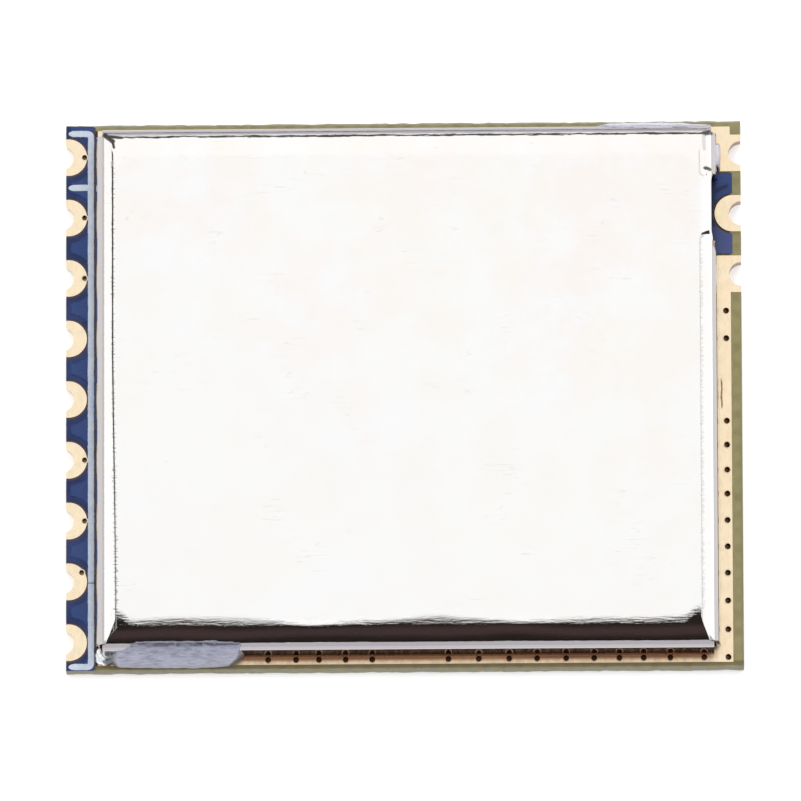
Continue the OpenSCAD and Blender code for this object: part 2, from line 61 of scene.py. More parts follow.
# The walls flare, so the front and back folds stand in from the walls' feet
WALL_FLARE = 0.08 * MM
FRONT_SETBACK = 0.035 * MM
CAN_LOW, CAN_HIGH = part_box("shield_can")
CAN_LOW = CAN_LOW + Vector((0, FRONT_SETBACK, 0))
CAN_HIGH = CAN_HIGH - Vector((0, WALL_FLARE, 0))
CAN_MIDDLE = (CAN_LOW + CAN_HIGH) / 2
CAN_HALF = (CAN_HIGH - CAN_LOW) / 2
# How far in from the walls the left and right folds start, and how much of that the crease takes
SIDE_CREASE = 0.85 * MM
CREASE_RUN = 0.18 * MM

BOARD_LOW, BOARD_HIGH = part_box("circuit_board")
COPPER_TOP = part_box("ground_ring")[1].z
MASK_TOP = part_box("solder_mask_top")[1].z
INK_LOW, INK_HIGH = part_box("silkscreen_lines")
CONTACT_NAMES = [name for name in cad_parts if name.startswith("edge_contact_")]
CONTACT_NAMES.sort(key=lambda name: int(name.rsplit("_", 1)[1]))
CONTACT_YS = [sum(corner.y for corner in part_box(name)) / 2 for name in CONTACT_NAMES]
CONTACT_PITCH = (CONTACT_YS[0] - CONTACT_YS[-1]) / (len(CONTACT_YS) - 1)
ANTENNA_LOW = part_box("antenna_contact")[0]
ANTENNA_Y = CONTACT_YS[1]
LAND_X = BOARD_LOW.x + 0.1 * MM
HOLE_X = BOARD_LOW.x - 0.17 * MM

# Places that the photograph shows, in millimetres
VIA_CORNER = (13.36, -11.0)
VIA_PITCH = 1.1
VIA_STEPS_FRONT = (0.91, 1.27, 1, 0.91, 0.95, 1.05, 1.09, 1.05, 1.14, 1.14, 2.86, 1, 1, 0.86, 1.05)
VIA_STEPS_RIGHT = (1.05, 1.09, 1.05, 1, 1, 1, 0.91, 0.95, 0.91, 3.14, 1.05)
TIP_VIA_OUT = 0.67
TIP_VIA_TURNS = (0, 0, 0, None, None, 0, 0, 35, None)
CONTACT_FORMS = ("Plain", "With via", "With turned via")
# Painted shade and reflections on the can, at its back corners, by the antenna opening and along its side
# creases: start, end, half width, strength and raggedness
TIN_PAINTED_SHADE = (
    ((-12.3, 10.7), (-11.97, 10.42), 0.14, 1.0, 0.08),
    ((-12.0, 10.5), (-11.92, 10.15), 0.08, 1.0, 0.08),
    ((-12.2, 10.64), (-11.6, 10.58), 0.09, 1.0, 0.08),
    ((12.5, 10.6), (12.78, 10.64), 0.13, 0.9, 0.08),
    ((12.48, 10.5), (12.5, 9.95), 0.1, 0.25, 0.08),
    ((12.54, 9.14), (12.72, 9.1), 0.1, 0.95, 0.2),
    ((-11.95, 9.4), (-11.96, 2.5), 0.03, 0.45, 0.55),
    ((-11.96, 2.5), (-11.91, -2.9), 0.03, 0.45, 0.55),
    ((-11.91, -2.9), (-11.83, -9.2), 0.04, 0.5, 0.7),
    ((12.36, 6.0), (12.35, -9.2), 0.035, 0.14, 0.6),
)
# Crumbs of solder by the front left corner slot: x, y, z and radius
CRUMBS = (
    (-12.5, -10.7, 1.3, 0.2),
    (-12.3, -10.9, 1.25, 0.26),
    (-12.58, -10.98, 1.05, 0.17),
    (-12.4, -11.06, 1.0, 0.14),
    (-12.22, -10.78, 1.7, 0.2),
    (-12.64, -10.8, 1.0, 0.13),
)
WHITE = (1.0, 1.0, 1.0)


def srgb(red, green, blue):
    """A colour in 0 to 255 screen values, as the linear values that shaders take"""
    shares = [value / 255 for value in (red, green, blue)]
    return tuple(s / 12.92 if s <= 0.04045 else ((s + 0.055) / 1.055) ** 2.4 for s in shares)


def smooth_share(value):
    """A share from 0 to 1 that starts and ends gently"""
    share = min(1.0, max(0.0, value))
    return share * share * (3 - 2 * share)


def length(name, description, millimetres):
    """A length property"""
    limits = {"min": 0, "max": 0.05, "precision": 6}
    return bpy.props.FloatProperty(
        name=name, description=description, default=millimetres * MM, unit="LENGTH", **limits
    )


def colour(name, description, *screen):
    """A colour property"""
    return bpy.props.FloatVectorProperty(
        name=name, description=description, default=srgb(*screen), min=0, max=1, size=3, subtype="COLOR"
    )


class ReceiverSizes(bpy.types.PropertyGroup):
    """Sizes of the dressed pieces"""

    fold_radius: length("Fold radius", "Depth of the folds round the roof", 0.9)
    fold_edge: length("Fold edge", "Where the front and back folds turn down, in from the walls", 0.31)
    side_fold: length("Side fold", "How far the left and right folds fall to the upright walls", 0.934)
    sheet: length("Sheet", "Thickness of the tinplate", 0.2)
    corner_slot: length("Corner slot", "Open slot where two walls meet", 0.28)
    antenna_slot: length("Antenna opening", "Width of the opening in the right wall", 2.8)
    tongue_back: length("Tongue setback", "How far the roof's tongue stops short of the wall", 0.28)
    mouse_hole_w: length("Mouse-hole width", "Width of the opening in the left wall", 1.8)
    mouse_hole_h: length("Mouse-hole height", "Height of the opening in the left wall", 0.4)
    rim: length("Plated rim", "Rounding of the copper's edges", 0.012)
    chip_out: length("Edge roughness", "How deep the scored edges are chipped", 0.05)
    ink_width: length("Ink width", "Width of the printed lines", 0.27)
    ink_wobble: length("Ink wobble", "How far a printed line strays", 0.02)
    hole_r: length("Hole radius", "Finished radius of the plated half-holes", 0.5)
    land_r: length("Land radius", "Radius of the round lands", 0.77)
    mask_gap: length("Mask gap", "Bare strip round the lands", 0.08)
    copper: length("Copper", "Thickness of the plating", 0.05)
    via_r: length("Via radius", "Finished radius of the stitching vias", 0.12)
    tip_via_r: length("Tip via radius", "Finished radius of the vias at the lands' tips", 0.1)


class ReceiverColours(bpy.types.PropertyGroup):
    """Colours of the finishes"""

    tin: colour("Tinplate", "Roof of the can", 255, 255, 255)
    # painted reflection: the lower folds are the roof's tinplate, painted greyer where they mirror the
    # surroundings
    tin_fold: colour("Folded tinplate", "Lower folds of the can", 194, 189, 189)
    # painted shade: the walls are the roof's tinplate, painted darker where they mirror the shaded ring
    # below
    tin_wall: colour("Wall tinplate", "Walls of the can, stained by flux", 214, 203, 198)
    # painted shade and reflections in the can's creases and corners
    grime: colour("Grime", "Dirt in the can's creases", 62, 61, 57)
    solder: colour("Solder", "Joints between can and ring", 155, 156, 173)
    gold: colour("Gold plating", "Lands, ring and barrels", 255, 236, 204)
    barrel: colour("Flux", "Brown flux that fills the vias", 34, 16, 5)
    mask: colour("Solder mask", "Film over the copper pour", 38, 62, 114)
    mask_deep: colour("Solder mask off copper", "Film over bare laminate", 26, 40, 84)
    ink: colour("Printed ink", "Lines beside the pin row", 192, 203, 217)
    laminate: colour("Laminate", "Glass laminate between the copper and the edge", 146, 138, 94)
    laminate_cut: colour("Cut laminate", "Broken glass fibres at the scored edges", 172, 168, 152)
    mould: colour("Moulding", "Bodies of the chip and the regulator", 38, 38, 42)
    ceramic_tan: colour("Brown ceramic", "Capacitors and the crystal's base", 181, 154, 120)
    ceramic_white: colour("White ceramic", "Inductors and the filter's base", 230, 226, 218)
    floor: colour("Floor", "Plain pale floor", 236, 236, 236)


def arithmetic(operation):
    """A method of Wire that adds one Math node"""
    return lambda wire, *others: wire.bench.math(operation, wire, *others)


class Wire:
    """An output of a node, with plain arithmetic"""

    def __init__(self, bench, socket):
        self.bench = bench
        self.socket = socket

    __add__ = arithmetic("ADD")
    __sub__ = arithmetic("SUBTRACT")
    __mul__ = arithmetic("MULTIPLY")
    __truediv__ = arithmetic("DIVIDE")
    __pow__ = arithmetic("POWER")
    __gt__ = arithmetic("GREATER_THAN")
    __abs__ = arithmetic("ABSOLUTE")
    most = arithmetic("MAXIMUM")
    least = arithmetic("MINIMUM")
    wrap = arithmetic("WRAP")
    sine = arithmetic("SINE")
    root = arithmetic("SQRT")
    angle = arithmetic("ARCTAN2")

    def __rsub__(self, other):
        return self.bench.math("SUBTRACT", other, self)

    def steps(self, low, high, first=0.0, last=1.0):
        """A smooth step from one value to another"""
        inputs = {"Value": self, "From Min": low, "From Max": high, "To Min": first, "To Max": last}
        return self.bench.add("ShaderNodeMapRange", inputs, interpolation_type="SMOOTHSTEP")

    def dulled(self, smooth, rough):
        """A roughness that follows a grain"""
        return self.steps(0.3, 0.7, smooth, rough)


class NodeBench:
    """Short ways to add nodes to one tree"""

    def __init__(self, tree):
        self.tree = tree

    def node(self, kind, inputs=None, **settings):
        """A new node"""
        node = self.tree.nodes.new(kind)
        for key, value in settings.items():
            setattr(node, key, value)
        for key, value in (inputs or {}).items():
            self.feed(node.inputs[key], value)
        return node

    def add(self, kind, inputs=None, out=0, **settings):
        """One output of a new node"""
        return Wire(self, self.node(kind, inputs, **settings).outputs[out])

    def outputs(self, kind, inputs=None, **settings):
        """All outputs of a new node, by name"""
        return {socket.name: Wire(self, socket) for socket in self.node(kind, inputs, **settings).outputs}

    def feed(self, socket, value):
        if isinstance(value, Wire):
            self.tree.links.new(value.socket, socket)
        else:
            socket.default_value = value

    def math(self, operation, a, b=0.0, c=0.0):
        return self.add("ShaderNodeMath", {0: a, 1: b, 2: c}, operation=operation)

    def vector(self, operation, a, b, out=0):
        second = "Scale" if operation == "SCALE" else 1
        return self.add("ShaderNodeVectorMath", {0: a, second: b}, out, operation=operation)

    def split(self, vector):
        return self.outputs("ShaderNodeSeparateXYZ", {0: vector}).values()

    def noise(self, place, scale, detail, roughness=0.5):
        inputs = {"Vector": place, "Scale": scale, "Detail": detail, "Roughness": roughness}
        return self.add("ShaderNodeTexNoise", inputs)

    def pick(self, share, a, b):
        """A mix of two values"""
        return self.add("ShaderNodeMix", {0: share, 2: a, 3: b})

    def blend(self, share, a, b):
        """A mix of two colours"""
        a, b = (value if isinstance(value, Wire) else (*value, 1.0) for value in (a, b))
        return self.add("ShaderNodeMix", {0: share, 6: a, 7: b}, 2, data_type="RGBA")

    def join(self, parts):
        """One geometry from several"""
        node = self.node("GeometryNodeJoinGeometry")
        for part in parts:
            self.feed(node.inputs[0], part)
        return Wire(self, node.outputs[0])

    def ray_kinds(self):
        """Masks of the rays that the camera sends and of those that a shiny or clear surface sends on"""
        path = self.outputs("ShaderNodeLightPath")
        return path["Is Camera Ray"], path["Is Glossy Ray"].most(path["Is Transmission Ray"])


def named_tree(name, kind, inputs, outputs):
    """An empty node tree with named sockets, as its bench, its given values and its result sockets"""
    tree = bpy.data.node_groups.new(name, kind)
    for in_out, sockets in (("INPUT", inputs), ("OUTPUT", outputs)):
        for label, socket in sockets.items():
            tree.interface.new_socket(label, in_out=in_out, socket_type=f"NodeSocket{socket}")
    bench = NodeBench(tree)
    return bench, bench.outputs("NodeGroupInput"), bench.node("NodeGroupOutput").inputs


def grain_group():
    """Rolling grain and cloudy patches, from a place in millimetres"""
    name = "receiver_grain"
    if name in bpy.data.node_groups:
        return bpy.data.node_groups[name]
    inputs = {"Place": "Vector", "Stretch": "Vector", "Cloud": "Float"}
    bench, given, out = named_tree(name, "ShaderNodeTree", inputs, {"Grain": "Float", "Patches": "Float"})
    drawn = bench.vector("MULTIPLY", given["Place"], given["Stretch"])
    bench.feed(out["Grain"], bench.noise(drawn, 1.0, 4.0, 0.62))
    bench.feed(out["Patches"], bench.noise(given["Place"], given["Cloud"], 3.0, 0.55).steps(0.35, 0.65))
    return bench.tree


def specks_group():
    """Small scattered specks and short scratches, from a place in millimetres"""
    name = "receiver_specks"
    if name in bpy.data.node_groups:
        return bpy.data.node_groups[name]
    inputs = {"Place": "Vector", "Density": "Float", "Size": "Float"}
    bench, given, out = named_tree(name, "ShaderNodeTree", inputs, {"Specks": "Float", "Scratches": "Float"})
    place, size = given["Place"], given["Size"]
    cells = bench.outputs("ShaderNodeTexVoronoi", {"Vector": place, "Scale": given["Density"]})
    chance, _, _ = bench.split(cells["Color"])
    bench.feed(out["Specks"], cells["Distance"].steps(size, size * 0.4) * chance.steps(0.72, 0.74))
    turn = {"Vector": place, "Rotation": (0, 0, 0.22), "Scale": (0.35, 5, 1)}
    turned = bench.add("ShaderNodeMapping", turn)
    thin = abs(bench.noise(turned, 1.1, 1.0) - 0.5).steps(0.012, 0.003)
    bench.feed(out["Scratches"], thin * bench.noise(place, 0.8, 2.0).steps(0.56, 0.64))
    return bench.tree


class PaintBench(NodeBench):
    """A bench for one material, with the place of a point in millimetres"""

    def __init__(self, material):
        super().__init__(material.node_tree)
        self.shader = self.tree.nodes["Principled BSDF"].inputs
        self.place = self.vector("SCALE", self.add("ShaderNodeTexCoord", out="Object"), 1 / MM)
        self.x, self.y, self.z = self.split(self.place)

    def grain(self, stretch, cloud):
        inputs = {"Place": self.place, "Stretch": stretch, "Cloud": cloud}
        return self.outputs("ShaderNodeGroup", inputs, node_tree=grain_group())

    def specks(self, density, size):
        inputs = {"Place": self.place, "Density": density, "Size": size}
        return self.outputs("ShaderNodeGroup", inputs, node_tree=specks_group())

    def away_from(self, start, end):
        """Distance in plan from a straight line"""
        run = Vector(end) - Vector(start)
        flat = self.vector("MULTIPLY", self.place, (1, 1, 0))
        off = self.vector("SUBTRACT", flat, (*start, 0))
        share = self.vector("DOT_PRODUCT", off, (*run, 0), "Value") / run.length_squared
        along = self.vector("SCALE", (*run, 0), share.most(0.0).least(1.0))
        return self.vector("DISTANCE", off, along, "Value")

    def paint(self, tone, roughness, height, depth, metal=0.0):
        """Feeds the shader its colour, roughness and bump"""
        self.feed(self.shader["Base Color"], tone)
        self.feed(self.shader["Roughness"], roughness)
        self.shader["Metallic"].default_value = metal
        self.feed(self.shader["Normal"], self.add("ShaderNodeBump", {"Height": height, "Distance": depth}))


def made_once(maker):
    """The material that a maker paints, made on its first use"""
    name = f"receiver_{maker.__name__}"
    if name not in bpy.data.materials:
        material = bpy.data.materials.new(name)
        material.use_nodes = True
        maker(PaintBench(material), bpy.context.scene.receiver_colours)
    return bpy.data.materials[name]


def stray_fold(past, shift, start, width, slopes):
    """The height that moves the start of a fold about and makes it as steep as the second slope"""
    heights = []
    for place, slope in zip((past, past + shift), slopes):
        ramp = (place - start).most(0.0).least(width)
        beyond = (place - (start + width)).most(0.0)
        heights.append(ramp**2.0 * (slope / width / 2) + beyond * slope)
    return heights[0] - heights[1]


def tinplate(bench, colours):
    """Satin roof; polished folds that start at a ragged crease line, partly a real reflection and partly
    painted; lower folds and walls painted greyer as reflections
    """
    x, y, z = bench.x, bench.y, bench.z
    radius = bpy.context.scene.receiver_sizes.fold_radius / MM
    from_x = x - CAN_MIDDLE.x / MM
    from_y = y - CAN_MIDDLE.y / MM
    past_x = abs(from_x) - (CAN_HALF.x / MM - radius)
    past_y = abs(from_y) - (CAN_HALF.y / MM - radius)
    at_right = from_x > 0.0
    at_back = from_y > 0.0
    on_x = past_x > past_y
    grain = bench.grain((1.6, 13, 13), 0.45)
    brush = bench.grain((2.6, 26, 26), 0.22)
    marks = bench.specks(1.1, 0.05)
    stray = grain["Grain"] - 0.5
    # The front and back folds start further in towards the corners
    curl = past_x.steps(-0.95, 0.0) ** 2.0 * 0.4

    # How far down the sheet a point lies, from the polished folds to the walls
    ragged_x = past_x - bench.pick(at_right, 0.1, 0.18) + stray * 0.6
    ragged_y = past_y + 0.27 + curl + stray * 1.1
    polish = ragged_x.steps(-0.02, 0.03).most(ragged_y.steps(-0.04, 0.06))
    drop = bench.pick(on_x, 0.15, bench.pick(at_right, 0.2, 0.34))
    below = CAN_HIGH.z / MM - z + stray * 0.05
    lower = (below - drop).steps(-0.01, 0.03)
    wall = bench.pick(on_x, z.steps(2.62, 2.5), z.steps(2.2, 2.0))

    # Colours of the roof and the folds, with painted reflections on the lower folds and walls, then painted
    # shade and reflected lines in the creases and corners
    creamy = (from_y + from_x * 0.5).steps(-9.0, 9.0, 0.3, 1.0)
    roof = bench.blend(grain["Patches"] * creamy, colours.tin, srgb(255, 249, 245))
    roof = bench.blend(brush["Patches"] * 0.5, roof, srgb(255, 254, 250))
    roof = bench.blend(marks["Specks"] * 0.25, roof, srgb(205, 196, 196))
    roof = bench.blend(marks["Scratches"] * 0.22, roof, srgb(215, 206, 206))
    painted_lower_tone = bench.blend(on_x, srgb(180, 176, 181), colours.tin_fold)
    painted_lower_tone = bench.blend(brush["Grain"] * 0.3, painted_lower_tone, srgb(160, 152, 158))
    # Painted shade on the walls
    painted_lower_tone = bench.blend(wall * 0.8, painted_lower_tone, colours.tin_wall)
    # Painted shade along the back fold's crease, then painted shade at the back corners and by the antenna
    # opening, and painted reflected lines along the side creases
    grime = abs(below + 0.012 - drop).steps(0.016, 0.006) * (at_back - on_x)
    for start, end, wide, strength, ragged in TIN_PAINTED_SHADE:
        reach = bench.away_from(start, end) + stray * ragged
        grime = grime.most(reach.steps(wide, wide * 0.4) * strength)
    tone = bench.blend(grime * 0.97, bench.blend(lower, roof, painted_lower_tone), colours.grime)

    # Uneven starts of the folds, torn at the front and back, and brush marks
    sway = (bench.noise(bench.place, 0.35, 0.0) - 0.5) * 0.55
    torn = stray * 0.11 * (past_y + curl).steps(0.05, -0.2)
    uneven_y = stray_fold(past_y, sway + curl + (torn - 0.04), -0.45, 0.32, (0.093, 0.125))
    jitter = (bench.noise(bench.place, 2.6, 1.0) - 0.5) * 0.012
    slant = y.steps(-9.5, 2.5, 0.1, -0.03) * (1.0 - at_right)
    uneven_x = stray_fold(past_x, jitter + slant, 0.05, 0.18, (0.38, 0.38)) * on_x
    near = past_x.most(past_y).steps(-0.9, 0.0, 0.25, 1.0) * z.steps(2.3, 2.7, 0.2, 1.0)
    brush_depth, satin, polished = 0.0016, 0.2, 0.05
    height = brush["Grain"] * near * brush_depth + (uneven_y + uneven_x)
    bench.paint(tone, polish.steps(0.0, 1.0, satin, polished), height, MM, metal=1.0)


def gold_plating(bench, colours):
    """Bright gold with brush marks and a rubbed scratch, painted shade by the front wall, on the left side
    and in the holes, and brown flux in the vias
    """
    x, y, z = bench.x, bench.y, bench.z
    grain = bench.grain((7, 3, 7), 0.7)
    marks = bench.specks(1.6, 0.06)
    tone = bench.blend(grain["Patches"] * 0.4, colours.gold, srgb(253, 227, 188))
    tone = bench.blend(marks["Specks"] * 0.3, tone, srgb(186, 140, 104))
    scratch_x = 13.15
    across = abs(x - scratch_x + (grain["Grain"] - 0.5) * 0.12)
    rubbed = across.steps(0.05, 0.02) * abs(y).steps(0.7, 0.5)
    tone = bench.blend(rubbed * 0.85, tone, srgb(128, 78, 36))
    # Painted shade on the ring before the front wall and on its left side beside the can, past which the
    # lands are gold again
    foot = y.steps(-11.12, -10.94, 0.36, 1.0) * y.steps(-10.6, -10.7) * x.steps(13.1, 12.4)
    tone = bench.blend(foot * 0.86, tone, srgb(142, 80, 36))
    tone = bench.blend(x.steps(-12.66, -12.7), tone, srgb(64, 56, 70))
    tone = bench.blend(x.steps(-13.0, -13.05), tone, colours.gold)
    # Painted shade on the walls inside the holes, browner on the antenna edge, and the flux in the vias
    inside = z.steps(0.86, 0.82) * z.steps(0.03, 0.045)
    tone = bench.blend(inside * x.steps(13.3, 13.4, 0.3, 1.0), tone, srgb(126, 90, 56))
    vias = x.steps(-13.5, -13.45) * x.steps(13.5, 13.48) * inside
    flux = bench.blend(x.steps(-12.9, -13.0), colours.barrel, srgb(84, 60, 24))
    tone = bench.blend(vias * 0.9, tone, flux)
    bench.paint(tone, grain["Grain"].dulled(0.16, 0.26), grain["Grain"], 0.0003 * MM, metal=1.0)


def solder_mask(bench, colours):
    """Glossy blue film that sinks off the copper pour round each land, with painted shadow beside the can"""
    x, y, z = bench.x, bench.y, bench.z
    pitch = CONTACT_PITCH / MM
    land_x = LAND_X / MM
    from_contact = (y - CONTACT_YS[0] / MM).wrap(pitch / 2, -pitch / 2)
    from_land = ((x - land_x) ** 2.0 + from_contact**2.0).root()
    grain = bench.grain((5, 5, 5), 0.9)
    stray = (grain["Grain"] - 0.5) * 0.12
    pour = (from_land + stray).steps(1.0, 1.1) * (x + stray).steps(land_x + 0.04, land_x + 0.14)
    tone = bench.blend(pour, colours.mask_deep, colours.mask)
    tone = bench.blend(grain["Patches"] * 0.35, tone, srgb(56, 74, 124))
    # Painted shadow by the can and the antenna contact, with a dark streak, and haze on the patch in front
    # of that contact
    can_shadow_and_streak = (x + stray).steps(13.08, 12.86) * x.steps(12.0, 12.4)
    can_shadow_and_streak = can_shadow_and_streak.most(bench.away_from((12.9, 8.45), (13.4, 8.7)).steps(0.12, 0.04))
    tone = bench.blend(can_shadow_and_streak * 0.7, tone, srgb(20, 24, 42))
    hazy = x.steps(12.4, 12.8) * y.steps(7.1, 6.9)
    tone = bench.blend(hazy * 0.35, tone, srgb(96, 98, 146))
    bench.shader["Specular IOR Level"].default_value = 0.3
    height = pour * z.steps(0.4, 0.5) + grain["Grain"] * 0.12
    bench.paint(tone, grain["Grain"].dulled(0.2, 0.34), height, 0.03 * MM)


def printed_ink(bench, colours):
    """Thin pale ink, thicker in places, with a crack across one line"""
    grain = bench.grain((9, 9, 9), 2.2)
    tone = bench.blend(grain["Grain"].steps(0.4, 0.75), colours.ink, srgb(178, 188, 208))
    tone = bench.blend(grain["Patches"] * 0.4, tone, srgb(212, 220, 232))
    crack_y = -7.62
    crack = abs(bench.y + grain["Grain"] * 0.25 - crack_y).steps(0.05, 0.02)
    tone = bench.blend(crack * 0.7, tone, srgb(70, 76, 104))
    bench.paint(tone, grain["Grain"].dulled(0.5, 0.7), grain["Grain"], 0.012 * MM)


def glass_laminate(bench, colours):
    """Olive laminate with its weave, painted shade between mask and lands, pale and splintered at the scored
    edges
    """
    x, y, z = bench.x, bench.y, bench.z
    left, back, threads = BOARD_LOW.x / MM, BOARD_HIGH.y / MM, 9.0
    grain = bench.grain((3, 9, 9), 1.3)
    fibre = bench.grain((16, 16, 40), 2.4)
    weave = (x * threads).sine() * (y * threads).sine()
    tone = bench.blend(weave.steps(-0.8, 0.8), colours.laminate, srgb(134, 126, 88))
    tone = bench.blend(grain["Patches"] * 0.5, tone, srgb(152, 146, 106))
    edge = (abs(y) + (grain["Grain"] - 0.5) * 0.5).steps(back - 0.16, back - 0.04)
    cut = bench.blend(fibre["Grain"], colours.laminate_cut, srgb(120, 114, 96))
    tone = bench.blend(edge, tone, cut)
    # Painted shade on a strip before the ring and in the bare gaps round the pin row's lands, and a painted
    # shadow by the antenna contact
    step_shade = y.steps(-11.38, -11.3) * y.steps(-11.1, -11.16)
    tone = bench.blend(step_shade * 0.55, tone, srgb(92, 76, 54))
    pin_gap_shade = x.steps(left + 1.26, left + 1.2) * abs(y).steps(back - 0.1, back - 0.16) * z.steps(0.8, 0.84)
    tone = bench.blend(pin_gap_shade, tone, srgb(78, 68, 84))
    antenna_shadow = abs(y - ANTENNA_Y / MM).steps(1.8, 1.7) * x.steps(12.6, 12.7) * x.steps(13.62, 13.5)
    tone = bench.blend(antenna_shadow * 0.85, tone, srgb(52, 34, 26))
    bench.paint(tone, fibre["Grain"].dulled(0.45, 0.75), fibre["Grain"], 0.02 * MM)


def solder_joint(bench, colours):
    """Dull lavender-grey solder with frosty grain, lightened at the back as a painted reflection, and white
    and dark grey at the front left corner
    """
    x, y = bench.x, bench.y
    grain = bench.grain((2.5, 7, 7), 1.4)
    marks = bench.specks(2.2, 0.09)
    tone = bench.blend(grain["Grain"].steps(0.35, 0.7), colours.solder, srgb(126, 128, 145))
    tone = bench.blend(grain["Patches"] * 0.35, tone, srgb(178, 178, 195))
    tone = bench.blend(marks["Specks"] * 0.4, tone, srgb(92, 88, 104))
    # The back joint, lightened as a painted reflection, then the crumbs by the front left corner
    tone = bench.blend(y.steps(9.0, 10.0) * 0.6, tone, srgb(236, 234, 246))
    patchy = x + (grain["Grain"] - 0.5) * 0.8
    crumb_tone = bench.blend(patchy.steps(-12.5, -12.3), srgb(244, 246, 246), srgb(112, 118, 122))
    tone = bench.blend(x.steps(-11.85, -12.1) * y.steps(0.0, -1.0), tone, crumb_tone)
    bench.paint(tone, grain["Grain"].dulled(0.26, 0.42), grain["Grain"], 0.012 * MM, metal=1.0)


def plated_end(bench, colours):
    """Matt tin on the ends, leads and lids under the can"""
    grain = bench.grain((9, 9, 9), 1.8)
    tone = bench.blend(grain["Grain"].steps(0.3, 0.75), srgb(214, 212, 210), srgb(178, 176, 176))
    tone = bench.blend(grain["Patches"] * 0.3, tone, srgb(226, 222, 214))
    bench.paint(tone, grain["Grain"].dulled(0.3, 0.48), grain["Grain"], 0.006 * MM, metal=1.0)


def matt_body(bench, tone, dark, smooth, rough, depth):
    """A fine-grained moulded or fired body"""
    grain = bench.grain((14, 14, 14), 1.1)
    marks = bench.specks(4.0, 0.12)
    tone = bench.blend(grain["Grain"].steps(0.3, 0.7), tone, dark)
    tone = bench.blend(marks["Specks"] * 0.3, tone, [value * 0.5 for value in dark])
    bench.paint(tone, grain["Grain"].dulled(smooth, rough), grain["Grain"], depth)


def moulded_body(bench, colours):
    """Black moulding compound with its sandy surface"""
    matt_body(bench, colours.mould, srgb(52, 51, 54), 0.5, 0.7, 0.012 * MM)


def fired_brown(bench, colours):
    """Brown capacitor ceramic"""
    matt_body(bench, colours.ceramic_tan, srgb(164, 136, 102), 0.4, 0.6, 0.006 * MM)


def fired_white(bench, colours):
    """White ceramic"""
    matt_body(bench, colours.ceramic_white, srgb(212, 208, 200), 0.35, 0.55, 0.006 * MM)


def linked(name, data):
    """A new object in the scene, at the origin"""
    obj = bpy.data.objects.new(name, data)
    bpy.context.scene.collection.objects.link(obj)
    return obj


def points_object(name, points, edges=()):
    """An object of bare points and edges for a geometry tree to work on"""
    mesh = bpy.data.meshes.new(name)
    mesh.from_pydata(points, edges, [])
    return linked(name, mesh)


def mesh_piece(name, bm, material, sharp=35.0):
    """A shaded object from a bmesh"""
    mesh = bpy.data.meshes.new(name)
    bm.to_mesh(mesh)
    bm.free()
    mesh.materials.append(made_once(material))
    for polygon in mesh.polygons:
        polygon.use_smooth = True
    mesh.set_sharp_from_angle(angle=math.radians(sharp))
    return linked(name, mesh)


def settle(obj, nodes):
    """Hangs a finished piece on the frame"""
    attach(obj, "root")
    if nodes:
        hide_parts(*nodes)


def merged_node(name):
    """A copy of a CAD node's loose triangles with their points merged"""
    bm = bmesh.new()
    bm.from_mesh(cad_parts[name].data)
    bmesh.ops.remove_doubles(bm, verts=bm.verts, dist=1e-7)
    return bm


def node_copy(name, circles):
    """A merged copy of a CAD node with finer arcs. Circles are x, y and radius in metres."""
    bm = merged_node(name)
    bmesh.ops.dissolve_limit(bm, angle_limit=math.radians(0.5), verts=bm.verts, edges=bm.edges)
    round_arcs(bm, circles)
    return bm


def round_arcs(bm, circles, step=math.radians(5)):
    """Splits the edges that lie on a circle and moves the new points onto it"""
    near = 2e-6
    batches = {}
    level = [e for e in bm.edges if abs(e.verts[0].co.z - e.verts[1].co.z) < 1e-7]
    tags = [(e, *[v.co.xy for v in e.verts]) for e in level]
    for x, y, radius in circles:
        centre = Vector((x, y))
        reach = radius + near
        for edge, a, b in tags:
            if abs(a.x - x) > reach or abs(a.y - y) > reach:
                continue
            arms = (a - centre, b - centre)
            if any(abs(arm.length - radius) > near for arm in arms):
                continue
            cuts = math.ceil(arms[0].angle(arms[1]) / step) - 1
            if cuts > 0:
                batches.setdefault(cuts, []).append(edge)
    old = set(bm.verts)
    for cuts, edges in batches.items():
        made = bmesh.ops.subdivide_edges(bm, edges=edges, cuts=cuts)
        for item in made["geom_inner"]:
            if isinstance(item, bmesh.types.BMVert) and item not in old:
                onto_circle(item, circles)


def onto_circle(vert, circles):
    """Moves a point of a chord out to the circle that it belongs to"""
    best = None
    for x, y, radius in circles:
        arm = vert.co.xy - Vector((x, y))
        short = radius - arm.length
        if -1e-6 < short < 0.25 * radius and arm.length > 0 and (best is None or short < best[0]):
            best = (short, Vector((x, y)) + arm * (radius / arm.length))
    if best:
        vert.co.x, vert.co.y = best[1]


def round_rims(bm, width):
    """Rounds the sharp edges of a plated part"""
    sharp = [e for e in bm.edges if len(e.link_faces) == 2 and e.calc_face_angle(0) > math.radians(50)]
    shape = {"segments": 2, "profile": 0.5, "affect": "EDGES", "clamp_overlap": True}
    bmesh.ops.bevel(bm, geom=sharp, offset=width, **shape)


def via_places():
    """The stitching vias on the ring, in metres"""
    x, y = VIA_CORNER
    spots = [VIA_CORNER]
    for step in VIA_STEPS_FRONT:
        x -= step * VIA_PITCH
        spots.append((x, VIA_CORNER[1]))
    for step in VIA_STEPS_RIGHT:
        y += step * VIA_PITCH
        spots.append((VIA_CORNER[0], y))
    return [(x * MM, y * MM) for x, y in spots]


def tip_via_places():
    """The vias at the lands' tips, in metres"""
    out = TIP_VIA_OUT * MM
    turns = [(y, math.radians(turn)) for y, turn in zip(CONTACT_YS, TIP_VIA_TURNS) if turn is not None]
    return [(LAND_X + out * math.cos(turn), y + out * math.sin(turn)) for y, turn in turns]


